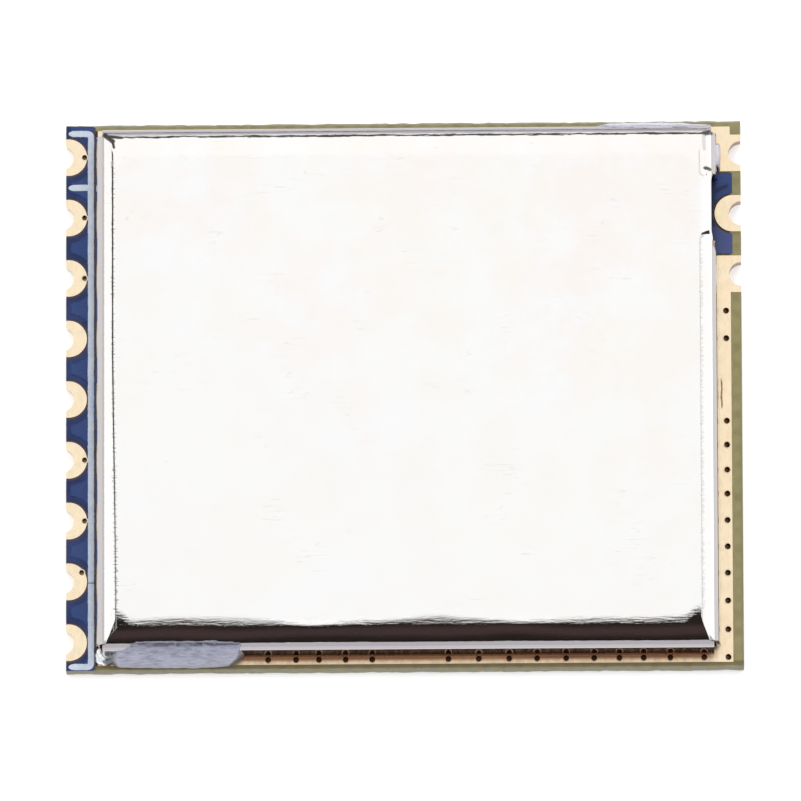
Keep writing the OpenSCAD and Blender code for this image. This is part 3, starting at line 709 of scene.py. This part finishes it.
def all_circles(sizes):
    """Every hole and round land of the board, as x, y and radius, each with the wider circle round it"""
    antenna_x = ANTENNA_LOW.x + sizes.land_r
    pairs = []
    for y in CONTACT_YS:
        pairs.append((HOLE_X, y, sizes.hole_r, sizes.copper))
        pairs.append((LAND_X, y, sizes.land_r, sizes.mask_gap))
    pairs += [(BOARD_HIGH.x, y, sizes.hole_r, sizes.copper) for y in CONTACT_YS[:3]]
    pairs.append((antenna_x, ANTENNA_Y, sizes.land_r, sizes.mask_gap))
    pairs += [(x, y, sizes.via_r, sizes.copper) for x, y in via_places()]
    pairs += [(x, y, sizes.tip_via_r, sizes.copper) for x, y in tip_via_places()]
    return [(x, y, radius + more) for x, y, radius, wider in pairs for more in (0.0, wider)]


def geometry_tree(name, sockets):
    """An empty geometry tree with named inputs"""
    geometry = {"Geometry": "Geometry"}
    return named_tree(name, "GeometryNodeTree", geometry | sockets, geometry)


def close_tree(bench, out, geometry, finish):
    """The end that every geometry tree has: real geometry with its material"""
    real = bench.add("GeometryNodeRealizeInstances", {"Geometry": geometry})
    smooth = bench.add("GeometryNodeSetShadeSmooth", {"Geometry": real})
    painted = bench.add("GeometryNodeSetMaterial", {"Geometry": smooth, "Material": finish})
    bench.feed(out["Geometry"], painted)
    return bench.tree


def bake_nodes(obj, tree, values):
    """Runs a geometry tree on an object and keeps the result as its plain mesh"""
    modifier = obj.modifiers.new("nodes", "NODES")
    modifier.node_group = tree
    for item in tree.interface.items_tree:
        if item.item_type == "SOCKET" and item.in_out == "INPUT" and item.name in values:
            modifier[item.identifier] = values[item.name]
    keep_evaluated(obj)


def keep_evaluated(obj):
    """Swaps an object's mesh for what its modifiers make of it"""
    graph = bpy.context.evaluated_depsgraph_get()
    made = bpy.data.meshes.new_from_object(obj.evaluated_get(graph), depsgraph=graph)
    if not made.polygons:
        raise RuntimeError(f"{obj.name} came out empty")
    old = obj.data
    obj.modifiers.clear()
    obj.data = made
    bpy.data.meshes.remove(old)
    made.name = obj.name


class RECEIVER_OT_stage(bpy.types.Operator):
    """Sets the floor, the soft light, the surroundings and the camera"""

    bl_idname = "receiver.stage"
    bl_label = "Stage"

    def execute(self, context):
        scene = context.scene
        scene.view_settings.view_transform = "Standard"
        self.floor(scene)
        self.world(scene)
        self.light()
        self.camera(scene)
        return {"FINISHED"}

    def floor(self, scene):
        """A pale floor just under the module, which shows white and keeps the shadow"""
        half_size, below = 1.5, 0.02 * MM
        seen_straight, seen_mirrored = 0.41, 0.3
        bm = bmesh.new()
        bmesh.ops.create_grid(bm, x_segments=4, y_segments=4, size=half_size)
        bmesh.ops.translate(bm, verts=bm.verts, vec=(0, 0, -below))
        mesh = bpy.data.meshes.new("floor")
        bm.to_mesh(mesh)
        bm.free()
        floor = linked("floor", mesh)
        material = bpy.data.materials.new("pale_floor")
        material.use_nodes = True
        material.node_tree.nodes.clear()
        bench = NodeBench(material.node_tree)
        camera, bent = bench.ray_kinds()
        strength = (camera * seen_straight).most(bent * seen_mirrored)
        paint = bench.add("ShaderNodeBsdfDiffuse", {"Color": (*scene.receiver_colours.floor, 1)})
        glow = bench.add("ShaderNodeEmission", {"Color": (*WHITE, 1), "Strength": strength})
        both = bench.add("ShaderNodeAddShader", {0: paint, 1: glow})
        bench.node("ShaderNodeOutputMaterial", {"Surface": both})
        mesh.materials.append(material)

    def world(self, scene):
        """White surroundings, with the dark gaps between soft boxes that metal mirrors"""
        world = bpy.data.worlds.new("white_studio")
        scene.world = world
        world.use_nodes = True
        world.cycles.sampling_method = "NONE"
        world.node_tree.nodes.clear()
        bench = NodeBench(world.node_tree)
        x, y, z = bench.split(bench.add("ShaderNodeTexCoord", out="Generated"))
        # Angles from straight up, towards the front and towards either side
        lean, roll = (y * -1.0).angle(z), abs(x).angle(z)
        # A gap in front, one at each side, the right one fainter, and a low skyline behind
        front = lean.steps(0.02, 0.06) * abs(x + 0.023).steps(0.36, 0.3) * lean.steps(0.78, 0.68)
        side = abs(roll - 0.513).steps(0.13, 0.08) * abs(y - 0.15).steps(0.6, 0.5)
        side = side * x.steps(-0.1, 0.1, 1.0, 0.35)
        skyline = z.steps(0.19, 0.13) * y.steps(0.6, 0.8)
        dark = front.most(side.most(skyline * 0.8))
        banded = bench.blend(abs(lean - 0.31).steps(0.14, 0.04), srgb(37, 31, 29), srgb(63, 51, 51))
        mirrored = bench.blend(dark, WHITE, bench.blend(front, srgb(50, 43, 42), banded))
        camera, bent = bench.ray_kinds()
        even_light = (0.76, 0.76, 0.76)
        room = bench.blend(bent, even_light, mirrored)
        shown = bench.blend(camera, room, WHITE)
        back = bench.add("ShaderNodeBackground", {"Color": shown, "Strength": 1.0})
        bench.node("ShaderNodeOutputWorld", {"Surface": back})

    def light(self):
        """One soft lamp behind and above"""
        lamp = bpy.data.lights.new("soft_light_back", "AREA")
        lamp.shape = "DISK"
        lamp.size = 0.5
        lamp.energy = 1.3
        obj = linked("soft_light_back", lamp)
        obj.location = (0.05, 0.16, 0.5)
        obj.rotation_mode = "QUATERNION"
        obj.rotation_quaternion = obj.location.to_track_quat("Z", "Y")
        obj.visible_glossy = False

    def camera(self, scene):
        """The photograph's view, fitted to the corners of the board"""
        away = 0.5568
        tilt, turn, roll = (math.radians(angle) for angle in (8.61, 8.92, -0.2))
        target = Vector((-0.142, -0.203, 0.9)) * MM
        back = Vector((math.sin(tilt) * math.sin(turn), -math.sin(tilt) * math.cos(turn), math.cos(tilt)))
        right = Vector((0, 1, 0)).cross(back).normalized()
        up = back.cross(right)
        level, lift = math.cos(roll), math.sin(roll)
        right, up = right * level + up * lift, up * level - right * lift
        data = bpy.data.cameras.new("camera")
        data.sensor_width = 36
        data.lens = 604.4
        pose = Matrix((right, up, back)).transposed().to_4x4()
        pose.translation = target + back * away
        camera = linked("camera", data)
        camera.matrix_world = pose
        scene.camera = camera


class RECEIVER_OT_board(bpy.types.Operator):
    """Makes the laminate with its splintered score lines, and the two mask films"""

    bl_idname = "receiver.board"
    bl_label = "Board"

    def execute(self, context):
        sizes = context.scene.receiver_sizes
        circles = all_circles(sizes)
        bm = node_copy("circuit_board", circles)
        self.splinter(bm, sizes.chip_out)
        settle(mesh_piece("board_laminate", bm, glass_laminate), ["circuit_board"])
        for face in ("top", "bottom"):
            node = f"solder_mask_{face}"
            bm = node_copy(node, circles)
            settle(mesh_piece(f"mask_film_{face}", bm, solder_mask), [node])
        return {"FINISHED"}

    def splinter(self, bm, depth):
        """Cuts the long edges up and chips them inwards"""
        half, count = BOARD_HIGH.y, 150
        cut_strip, chip_strip = 0.15 * MM, 0.12 * MM
        for step in range(1, count):
            x = BOARD_LOW.x + (BOARD_HIGH.x - BOARD_LOW.x) * step / count
            rim = [f for f in bm.faces if max(abs(v.co.y) for v in f.verts) > half - cut_strip]
            geom = rim + list({e for f in rim for e in f.edges}) + list({v for f in rim for v in f.verts})
            bmesh.ops.bisect_plane(bm, geom=geom, plane_co=(x, 0, 0), plane_no=(1, 0, 0), dist=1e-8)
        for vert in bm.verts:
            if abs(vert.co.y) > half - chip_strip:
                spot = vert.co / MM
                bite = noise.noise(spot * 2.3) * 0.6 + noise.noise(spot * 7.1) * 0.4
                vert.co.y -= math.copysign(depth, vert.co.y) * max(0.0, 0.45 + bite)


class RECEIVER_OT_contacts(bpy.types.Operator):
    """Repeats the castellated contacts along the pin row"""

    bl_idname = "receiver.contacts"
    bl_label = "Castellated contacts"

    def execute(self, context):
        sizes = context.scene.receiver_sizes
        turns = sorted(set(TIP_VIA_TURNS), key=lambda turn: -1 if turn is None else turn)
        units = [self.unit(TIP_VIA_TURNS.index(turn), sizes) for turn in turns]
        row = points_object("edge_contacts", [(0, y, 0) for y in CONTACT_YS])
        forms = row.data.attributes.new("form", "INT", "POINT")
        for point, turn in zip(forms.data, TIP_VIA_TURNS):
            point.value = turns.index(turn)
        bake_nodes(row, self.tree(), dict(zip(CONTACT_FORMS, units)) | {"Finish": made_once(gold_plating)})
        row.data.set_sharp_from_angle(angle=math.radians(15))
        for unit in units:
            bpy.data.objects.remove(unit)
        settle(row, CONTACT_NAMES)
        return {"FINISHED"}

    def unit(self, number, sizes):
        """One contact with fine arcs and rounded rims, its row place at zero"""
        name = CONTACT_NAMES[number]
        bm = node_copy(name, all_circles(sizes))
        round_rims(bm, sizes.rim)
        bmesh.ops.translate(bm, verts=bm.verts, vec=(0, -CONTACT_YS[number], 0))
        return mesh_piece(f"unit_{name}", bm, gold_plating)

    def tree(self):
        """Places one of three forms of contact at each point of the row"""
        sockets = dict.fromkeys(CONTACT_FORMS, "Object") | {"Finish": "Material"}
        bench, given, out = geometry_tree("receiver_contact_row", sockets)
        form = bench.add("GeometryNodeInputNamedAttribute", {"Name": "form"}, data_type="INT")
        placed = []
        for number, label in enumerate(CONTACT_FORMS):
            shape = bench.add("GeometryNodeObjectInfo", {"Object": given[label]}, "Geometry")
            same = bench.add("FunctionNodeCompare", {2: form, 3: number}, data_type="INT", operation="EQUAL")
            inputs = {"Points": given["Geometry"], "Selection": same, "Instance": shape}
            placed.append(bench.add("GeometryNodeInstanceOnPoints", inputs))
        return close_tree(bench, out, bench.join(placed), given["Finish"])


class RECEIVER_OT_ring(bpy.types.Operator):
    """Makes the ground ring, the antenna contact and the raised lips of the vias"""

    bl_idname = "receiver.ring"
    bl_label = "Ring and vias"

    def execute(self, context):
        sizes = context.scene.receiver_sizes
        circles = all_circles(sizes)
        for piece, node in (("antenna_land", "antenna_contact"), ("ring_plating", "ground_ring")):
            bm = node_copy(node, circles)
            round_rims(bm, sizes.rim)
            settle(mesh_piece(piece, bm, gold_plating, sharp=15.0), [node])
        lip_out = 0.02 * MM
        values = {"Height": 0.006 * MM, "Flux depth": 0.28 * MM, "Seed": 2}
        values["Finish"] = made_once(gold_plating)
        tree = self.tree()
        for name, places, radius in (
            ("via_lips", via_places(), sizes.via_r),
            ("tip_via_lips", tip_via_places(), sizes.tip_via_r),
        ):
            lips = points_object(name, [(x, y, COPPER_TOP) for x, y in places])
            bake_nodes(lips, tree, values | {"Radius": radius + lip_out})
            settle(lips, [])
        return {"FINISHED"}

    def tree(self):
        """Rolls a low uneven lip round each via and fills it with flux"""
        sockets = dict.fromkeys(("Radius", "Height", "Flux depth"), "Float")
        sockets |= {"Seed": "Int", "Finish": "Material"}
        bench, given, out = geometry_tree("receiver_via_lips", sockets)
        circle, around = "GeometryNodeCurvePrimitiveCircle", 28
        path = bench.add(circle, {"Resolution": around, "Radius": given["Radius"]})
        section = bench.add(circle, {"Resolution": 8, "Radius": given["Height"]})
        wide = bench.add("GeometryNodeTransform", {"Geometry": section, "Scale": (2.2, 1, 1)})
        lip = bench.add("GeometryNodeCurveToMesh", {"Curve": path, "Profile Curve": wide})
        inputs = {"Vertices": around, "Radius": given["Radius"]}
        disc = bench.add("GeometryNodeMeshCircle", inputs, fill_type="TRIANGLE_FAN")
        down = bench.add("ShaderNodeCombineXYZ", {2: given["Flux depth"] * -1.0})
        flux = bench.add("GeometryNodeTransform", {"Geometry": disc, "Translation": down})
        inputs = {2: 0.94, 3: 1.06, "Seed": given["Seed"]}
        size = bench.add("FunctionNodeRandomValue", inputs, 1, data_type="FLOAT")
        inputs = {"Points": given["Geometry"], "Instance": bench.join((flux, lip)), "Scale": size}
        return close_tree(bench, out, bench.add("GeometryNodeInstanceOnPoints", inputs), given["Finish"])


class RECEIVER_OT_ink(bpy.types.Operator):
    """Prints the lines beside the pin row"""

    bl_idname = "receiver.ink"
    bl_label = "Printed lines"

    def execute(self, context):
        sizes = context.scene.receiver_sizes
        half, nudge = sizes.ink_width / 2, 0.03 * MM
        left, right = INK_LOW.x, INK_HIGH.x - half + nudge
        top, bottom = INK_HIGH.y - half, INK_LOW.y + half
        branch = (CONTACT_YS[0] + CONTACT_YS[1]) / 2
        points = [(left, top, 0), (right, top, 0), (right, bottom, 0), (left, bottom, 0)]
        points += [(left, branch, 0), (right + half, branch, 0)]
        lines = points_object("printed_lines", points, [(0, 1), (1, 2), (2, 3), (4, 5)])
        values = {
            "Width": sizes.ink_width,
            "Thickness": INK_HIGH.z - MASK_TOP,
            "Height": MASK_TOP,
            "Wobble": sizes.ink_wobble,
            "Seed": 4,
            "Finish": made_once(printed_ink),
        }
        bake_nodes(lines, self.tree(), values)
        settle(lines, ["silkscreen_lines"])
        return {"FINISHED"}

    def tree(self):
        """Lays a flat uneven bead of ink along each edge of the path"""
        sockets = dict.fromkeys(("Width", "Thickness", "Height", "Wobble"), "Float")
        sockets |= {"Seed": "Int", "Finish": "Material"}
        bench, given, out = geometry_tree("receiver_print", sockets)
        half = given["Width"] * 0.5
        spot = bench.add("GeometryNodeInputPosition")
        waves, grain = ({"Vector": spot, "W": given["Seed"], "Scale": scale} for scale in (2500.0, 9000.0))
        path = bench.add("GeometryNodeMeshToCurve", {"Mesh": given["Geometry"]})
        corners = {"Curve": path, "Radius": half, "Count": 6}
        turned = bench.add("GeometryNodeFilletCurve", corners, mode="POLY")
        fine = bench.add("GeometryNodeResampleCurve", {"Curve": turned, "Length": 0.04 * MM}, mode="LENGTH")
        stray = bench.add("ShaderNodeTexNoise", waves, 1, noise_dimensions="4D")
        flat = bench.vector("MULTIPLY", bench.vector("SUBTRACT", stray, (0.5, 0.5, 0.5)), (2, 2, 0))
        shift = bench.vector("SCALE", flat, given["Wobble"])
        moved = bench.add("GeometryNodeSetPosition", {"Geometry": fine, "Offset": shift})

        along = bench.outputs("GeometryNodeSplineParameter")["Length"]
        left = along.least(bench.add("GeometryNodeSplineLength", out="Length") - along)
        share = (left / given["Width"]).least(1.0)
        rounded = (1.0 - (1.0 - share) ** 2.0).most(0.04).root()
        swell = bench.add("ShaderNodeTexNoise", grain, noise_dimensions="4D") * 0.36 + 0.82
        ring = bench.add("GeometryNodeCurvePrimitiveCircle", {"Resolution": 12, "Radius": 1.0})
        squash = bench.add("ShaderNodeCombineXYZ", {0: half, 1: given["Thickness"], 2: 1.0})
        section = bench.add("GeometryNodeTransform", {"Geometry": ring, "Scale": squash})
        sweep = {"Curve": moved, "Profile Curve": section, "Scale": rounded * swell, "Fill Caps": True}
        swept = bench.add("GeometryNodeCurveToMesh", sweep)
        lift = bench.add("ShaderNodeCombineXYZ", {2: given["Height"]})
        raised = bench.add("GeometryNodeTransform", {"Geometry": swept, "Translation": lift})
        return close_tree(bench, out, raised, given["Finish"])


class RECEIVER_OT_can(bpy.types.Operator):
    """Folds the tinplate can"""

    bl_idname = "receiver.can"
    bl_label = "Shield can"

    def execute(self, context):
        sizes = context.scene.receiver_sizes
        bm = bmesh.new()
        for side in range(4):
            self.side(bm, side, sizes)
        bmesh.ops.remove_doubles(bm, verts=bm.verts, dist=2e-7)
        self.roof(bm, sizes)
        bmesh.ops.recalc_face_normals(bm, faces=bm.faces)
        if sum(f.normal.z * f.calc_area() for f in bm.faces) < 0:
            bmesh.ops.reverse_faces(bm, faces=bm.faces)
        can = mesh_piece("can_shell", bm, tinplate, sharp=24.0)
        wall = can.modifiers.new("sheet", "SOLIDIFY")
        wall.thickness = sizes.sheet
        wall.offset = -1.0
        wall.use_even_offset = True
        keep_evaluated(can)
        settle(can, ["shield_can"])
        return {"FINISHED"}

    def corner(self, side):
        """Start corner, direction along the side, direction into the can and length. Side 0 is the front."""
        low, high = CAN_LOW, CAN_HIGH
        start = ((low.x, low.y), (high.x, low.y), (high.x, high.y), (low.x, high.y))[side]
        along = ((1, 0), (0, 1), (-1, 0), (0, -1))[side]
        inward = (-along[1], along[0])
        total = high.y - low.y if side % 2 else high.x - low.x
        return Vector(start), Vector(along), Vector(inward), total

    def rows(self, sizes):
        """The fold's section. Each row is the distance in from the left and right walls, the distance in
        from the front and back walls, and the height. The roof sags before the front fold and creases at
        the sides."""
        radius = sizes.fold_radius
        start, bend, edge = radius + 0.45 * MM, radius + 0.13 * MM, sizes.fold_edge
        tilt, fall = math.radians(5.3), math.radians(16)
        sag_steps, turn_steps, drop_steps = 44, 16, 12
        deep, drops = [start], [0.0]
        for k in range(1, sag_steps + 1):
            inset = start + (edge - start) * k / sag_steps
            slope = tilt * smooth_share((start - inset) / (start - bend))
            slope += (fall - tilt) * max(0.0, (bend - inset) / (bend - edge))
            deep.append(inset)
            drops.append(drops[-1] + math.tan(slope) * (start - edge) / sag_steps)
        tight, top = edge / (1 - math.sin(fall)), drops[-1]
        for k in range(1, turn_steps + 1):
            angle = fall + (math.pi / 2 - fall) * k / turn_steps
            deep.append(tight * (1 - math.sin(angle)))
            drops.append(top + tight * (math.cos(fall) - math.cos(angle)))
        last = drops[-1]
        for k in range(1, drop_steps + 1):
            deep.append(0.0)
            drops.append(last + (sizes.side_fold - last) * k / drop_steps)
        section = [(self.side_inset(drop, sizes), y, CAN_HIGH.z - drop) for y, drop in zip(deep, drops)]
        return [*section, (0.0, 0.0, CAN_LOW.z + sizes.mouse_hole_h), (0.0, 0.0, CAN_LOW.z)]

    def side_inset(self, drop, sizes):
        """How far in from the left and right walls the fold has fallen by a drop"""
        sunk, steep = 0.04 * MM, math.radians(22)
        if drop < sunk:
            return SIDE_CREASE - CREASE_RUN * (drop / sunk) ** 0.55
        reach = (SIDE_CREASE - CREASE_RUN) / (1 - math.sin(steep))
        share = (sizes.side_fold - drop) / (sizes.side_fold - sunk) * math.cos(steep)
        return reach * (1 - math.sqrt(1 - share * share))

    def narrowed(self, inset):
        """The right fold ends short of the wall's foot, because that wall flares"""
        return WALL_FLARE + inset * (1 - WALL_FLARE / SIDE_CREASE)

    def opening(self, side, sizes):
        """The ends of the right wall's antenna opening or the left wall's mouse-hole, equal elsewhere"""
        middle, width = {
            1: (ANTENNA_Y - CAN_LOW.y, sizes.antenna_slot),
            3: (CAN_HIGH.y, sizes.mouse_hole_w),
        }.get(side, (0.0, 0.0))
        return middle - width / 2, middle + width / 2

    def side(self, bm, side, sizes):
        """One wall with its fold, from the roof's flat middle down to the copper"""
        start, along, inward, total = self.corner(side)
        section = [(y, x, z) if side % 2 == 0 else (x, y, z) for x, y, z in self.rows(sizes)]
        step, lip, clear, tiny = 0.5 * MM, 0.03 * MM, 0.1 * MM, 1e-9
        opening_cells = 28
        flare_top, flare_run = CAN_HIGH.z - 0.6 * MM, 1.5 * MM
        first = section[0][1] + 2 * lip
        last = total - first
        count = round((last - first) / step)
        us = [first + (last - first) * k / count for k in range(count + 1)]
        a, b = self.opening(side, sizes)
        if b > a:
            us = [u for u in us if not a - clear < u < b + clear]
            us += [a + (b - a) * k / opening_cells for k in range(opening_cells + 1)]
            us.sort()
        grid = []
        for inset, mitre, z in section:
            if side == 1:
                inset = self.narrowed(inset)
            if side != 3:
                inset -= WALL_FLARE * min(1.0, max(0.0, (flare_top - z) / flare_run))
            near = max(self.narrowed(mitre) if side == 2 else mitre, sizes.corner_slot)
            far = max(self.narrowed(mitre) if side == 0 else mitre, sizes.corner_slot)
            row = []
            for u in [near, near + lip, *us, total - far - lip, total - far]:
                spot = start + along * u + inward * inset
                row.append(bm.verts.new((spot.x, spot.y, z)))
            grid.append(row)
        marks = [-math.inf, -math.inf, *us, math.inf, math.inf]
        for j in range(len(grid) - 1):
            for i in range(len(grid[j]) - 1):
                opened = a - tiny <= marks[i] and marks[i + 1] <= b + tiny
                if opened and (side == 1 or j == len(grid) - 2):
                    continue
                bm.faces.new((grid[j][i], grid[j + 1][i], grid[j + 1][i + 1], grid[j][i + 1]))
        if side == 1:
            self.tongue(bm, sizes, start, along, inward, [u for u in us if a - tiny <= u <= b + tiny])

    def tongue(self, bm, sizes, start, along, inward, us):
        """The flat roof over the antenna opening, which runs into the fold at both ends"""
        depth, run_out = 0.45 * MM, 0.36 * MM
        section = [(self.narrowed(x), z) for x, _, z in self.rows(sizes) if CAN_HIGH.z - z < depth]
        inmost, outmost = section[0][0], section[-1][0]
        flat = inmost - sizes.tongue_back
        full = inmost - outmost
        grid = []
        for u in us:
            bend = 1 - smooth_share(min(u - us[0], us[-1] - u) / run_out)
            reach = flat + (full - flat) * bend
            column = []
            for inset, z in section:
                out = (inmost - inset) / full * reach
                spot = start + along * u + inward * (inmost - out)
                column.append(bm.verts.new((spot.x, spot.y, CAN_HIGH.z - (CAN_HIGH.z - z) * bend * bend)))
            grid.append(column)
        for a, b in zip(grid, grid[1:]):
            for k in range(len(a) - 1):
                bm.faces.new((a[k], a[k + 1], b[k + 1], b[k]))

    def roof(self, bm, sizes):
        """Fills the flat middle"""
        wide, deep, high = self.rows(sizes)[0]
        middle, half = CAN_MIDDLE, CAN_HALF
        ring = []
        for vert in bm.verts:
            past_x = abs(vert.co.x - middle.x) - (half.x - wide)
            past_y = abs(vert.co.y - middle.y) - (half.y - deep)
            if abs(vert.co.z - high) < 1e-8 and abs(max(past_x, past_y)) < 1e-7:
                ring.append(vert)
        ring.sort(key=lambda v: math.atan2((v.co.y - middle.y) / half.y, (v.co.x - middle.x) / half.x))
        bm.faces.new(ring)


class RECEIVER_OT_solder(bpy.types.Operator):
    """Flows the solder joints along the can's walls"""

    bl_idname = "receiver.solder"
    bl_label = "Solder joints"

    def execute(self, context):
        for node, shape in (
            ("solder_bead_front", self.front),
            ("solder_bead_back", self.back),
            ("solder_bead_side", self.side),
        ):
            bm = merged_node(node)
            shape(bm)
            piece = mesh_piece(node.replace("solder_bead", "joint"), bm, solder_joint, sharp=60.0)
            remesh = piece.modifiers.new("flow", "REMESH")
            remesh.mode = "VOXEL"
            remesh.voxel_size = 0.035 * MM
            remesh.use_smooth_shade = True
            smooth = piece.modifiers.new("settle", "SMOOTH")
            smooth.factor = 0.5
            smooth.iterations = 6
            keep_evaluated(piece)
            self.ripple(piece.data)
            settle(piece, [node])
        return {"FINISHED"}

    def front(self, bm):
        """Lifts and leans the right end over, laps the fold and drops crumbs of solder by the corner slot"""
        lean_from, lean_run = -8.4 * MM, 1.63 * MM
        lap_from, lap_run = -11.1 * MM, 0.9 * MM
        lap_start, lap_in, lap_up = 0.4, 0.06 * MM, 0.22 * MM
        full_height, roof_gap, lift = 1.8 * MM, 0.07 * MM, 0.45
        for vert in bm.verts:
            share = max(0.0, (vert.co.x - lean_from) / lean_run)
            rise = (vert.co.z - COPPER_TOP) * lift * share * share
            high = (vert.co.z - COPPER_TOP) / full_height
            left = min(1.0, max(0.0, (lap_from - vert.co.x) / lap_run))
            lap = (max(0.0, high - lap_start) / (1 - lap_start)) ** 2 * (1 - left)
            inward = rise * 0.35 + WALL_FLARE * high + lap * lap_in
            rise += lap * lap_up
            vert.co += Vector(((high * 1.06 - 0.04) * MM * share, inward, rise))
            vert.co.z = min(vert.co.z, CAN_HIGH.z - roof_gap)
        for x, y, z, radius in CRUMBS:
            place = Matrix.Translation(Vector((x, y, z)) * MM)
            bmesh.ops.create_icosphere(bm, subdivisions=2, radius=radius * MM, matrix=place)

    def back(self, bm):
        """Draws the joint out to the can's corner, slim at both ends"""
        drawn_from, corner_gap = 10.2 * MM, 0.3 * MM
        left_end, run = 7.7, 4.9
        for vert in bm.verts:
            if vert.co.x > drawn_from:
                vert.co.x = min(vert.co.x + (vert.co.x - drawn_from) * 0.35, CAN_HIGH.x - corner_gap)
            share = min(1.0, max(0.0, (vert.co.x / MM - left_end) / run))
            past = max(0.0, vert.co.y - CAN_HIGH.y)
            vert.co.y -= past * (0.65 - 0.4 * math.sin(math.pi * share))

    def side(self, bm):
        """Leaves a thin fillet at the wall's foot"""
        for vert in bm.verts:
            if vert.co.x > CAN_HIGH.x:
                vert.co.x = CAN_HIGH.x + (vert.co.x - CAN_HIGH.x) * 0.45
            vert.co.z = COPPER_TOP + (vert.co.z - COPPER_TOP) * 0.6

    def ripple(self, mesh):
        """Gives the set solder its low waves and pits"""
        waves = ((1.7, 0.03), (4.3, 0.016), (11, 0.006))
        swell, sunk = 0.03, 0.01 * MM
        normals = [vert.normal.copy() for vert in mesh.vertices]
        for vert, normal in zip(mesh.vertices, normals):
            spot = vert.co / MM
            wave = sum(noise.noise(spot * scale) * height for scale, height in waves)
            vert.co += normal * (wave + swell) * MM
            vert.co.z = max(vert.co.z, COPPER_TOP - sunk)
        mesh.update()


class RECEIVER_OT_inner_parts(bpy.types.Operator):
    """Paints the parts under the can"""

    bl_idname = "receiver.inner_parts"
    bl_label = "Parts under the can"

    def execute(self, context):
        ends = ("bulk_capacitor_ends", "capacitor_ends", "resistor_ends", "inductor_ends")
        finishes = {
            gold_plating: ("component_lands", "filter_lid"),
            plated_end: ("receiver_chip_terminals", "crystal_lid", "regulator_leads", *ends),
            moulded_body: ("receiver_chip_body", "regulator_body", "resistor_bodies"),
            fired_brown: ("crystal_base", "bulk_capacitor_bodies", "capacitor_bodies"),
            fired_white: ("filter_base", "inductor_bodies"),
        }
        for maker, names in finishes.items():
            for name in names:
                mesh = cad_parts[name].data
                mesh.materials.clear()
                mesh.materials.append(made_once(maker))
        return {"FINISHED"}


class RECEIVER_PT_panel(bpy.types.Panel):
    """Lists the pieces and their sizes and colours"""

    bl_idname = "RECEIVER_PT_panel"
    bl_label = "Video receiver module"
    bl_space_type = "VIEW_3D"
    bl_region_type = "UI"
    bl_category = "Receiver"

    def draw(self, context):
        for operator in OPERATORS:
            self.layout.operator(operator.bl_idname)
        for group in (context.scene.receiver_sizes, context.scene.receiver_colours):
            box = self.layout.box()
            for key in group.__annotations__:
                box.prop(group, key)


OPERATORS = (
    RECEIVER_OT_stage,
    RECEIVER_OT_board,
    RECEIVER_OT_contacts,
    RECEIVER_OT_ring,
    RECEIVER_OT_ink,
    RECEIVER_OT_can,
    RECEIVER_OT_solder,
    RECEIVER_OT_inner_parts,
)
CLASSES = (ReceiverSizes, ReceiverColours, *OPERATORS, RECEIVER_PT_panel)


def register():
    for cls in CLASSES:
        bpy.utils.register_class(cls)
    bpy.types.Scene.receiver_sizes = bpy.props.PointerProperty(type=ReceiverSizes)
    bpy.types.Scene.receiver_colours = bpy.props.PointerProperty(type=ReceiverColours)


def unregister():
    del bpy.types.Scene.receiver_colours
    del bpy.types.Scene.receiver_sizes
    for cls in reversed(CLASSES):
        bpy.utils.unregister_class(cls)


def main():
    register()
    bpy.ops.receiver.stage()
    bpy.ops.receiver.board()
    bpy.ops.receiver.contacts()
    bpy.ops.receiver.ring()
    bpy.ops.receiver.ink()
    bpy.ops.receiver.can()
    bpy.ops.receiver.solder()
    bpy.ops.receiver.inner_parts()


if __name__ == "__main__":
    main()
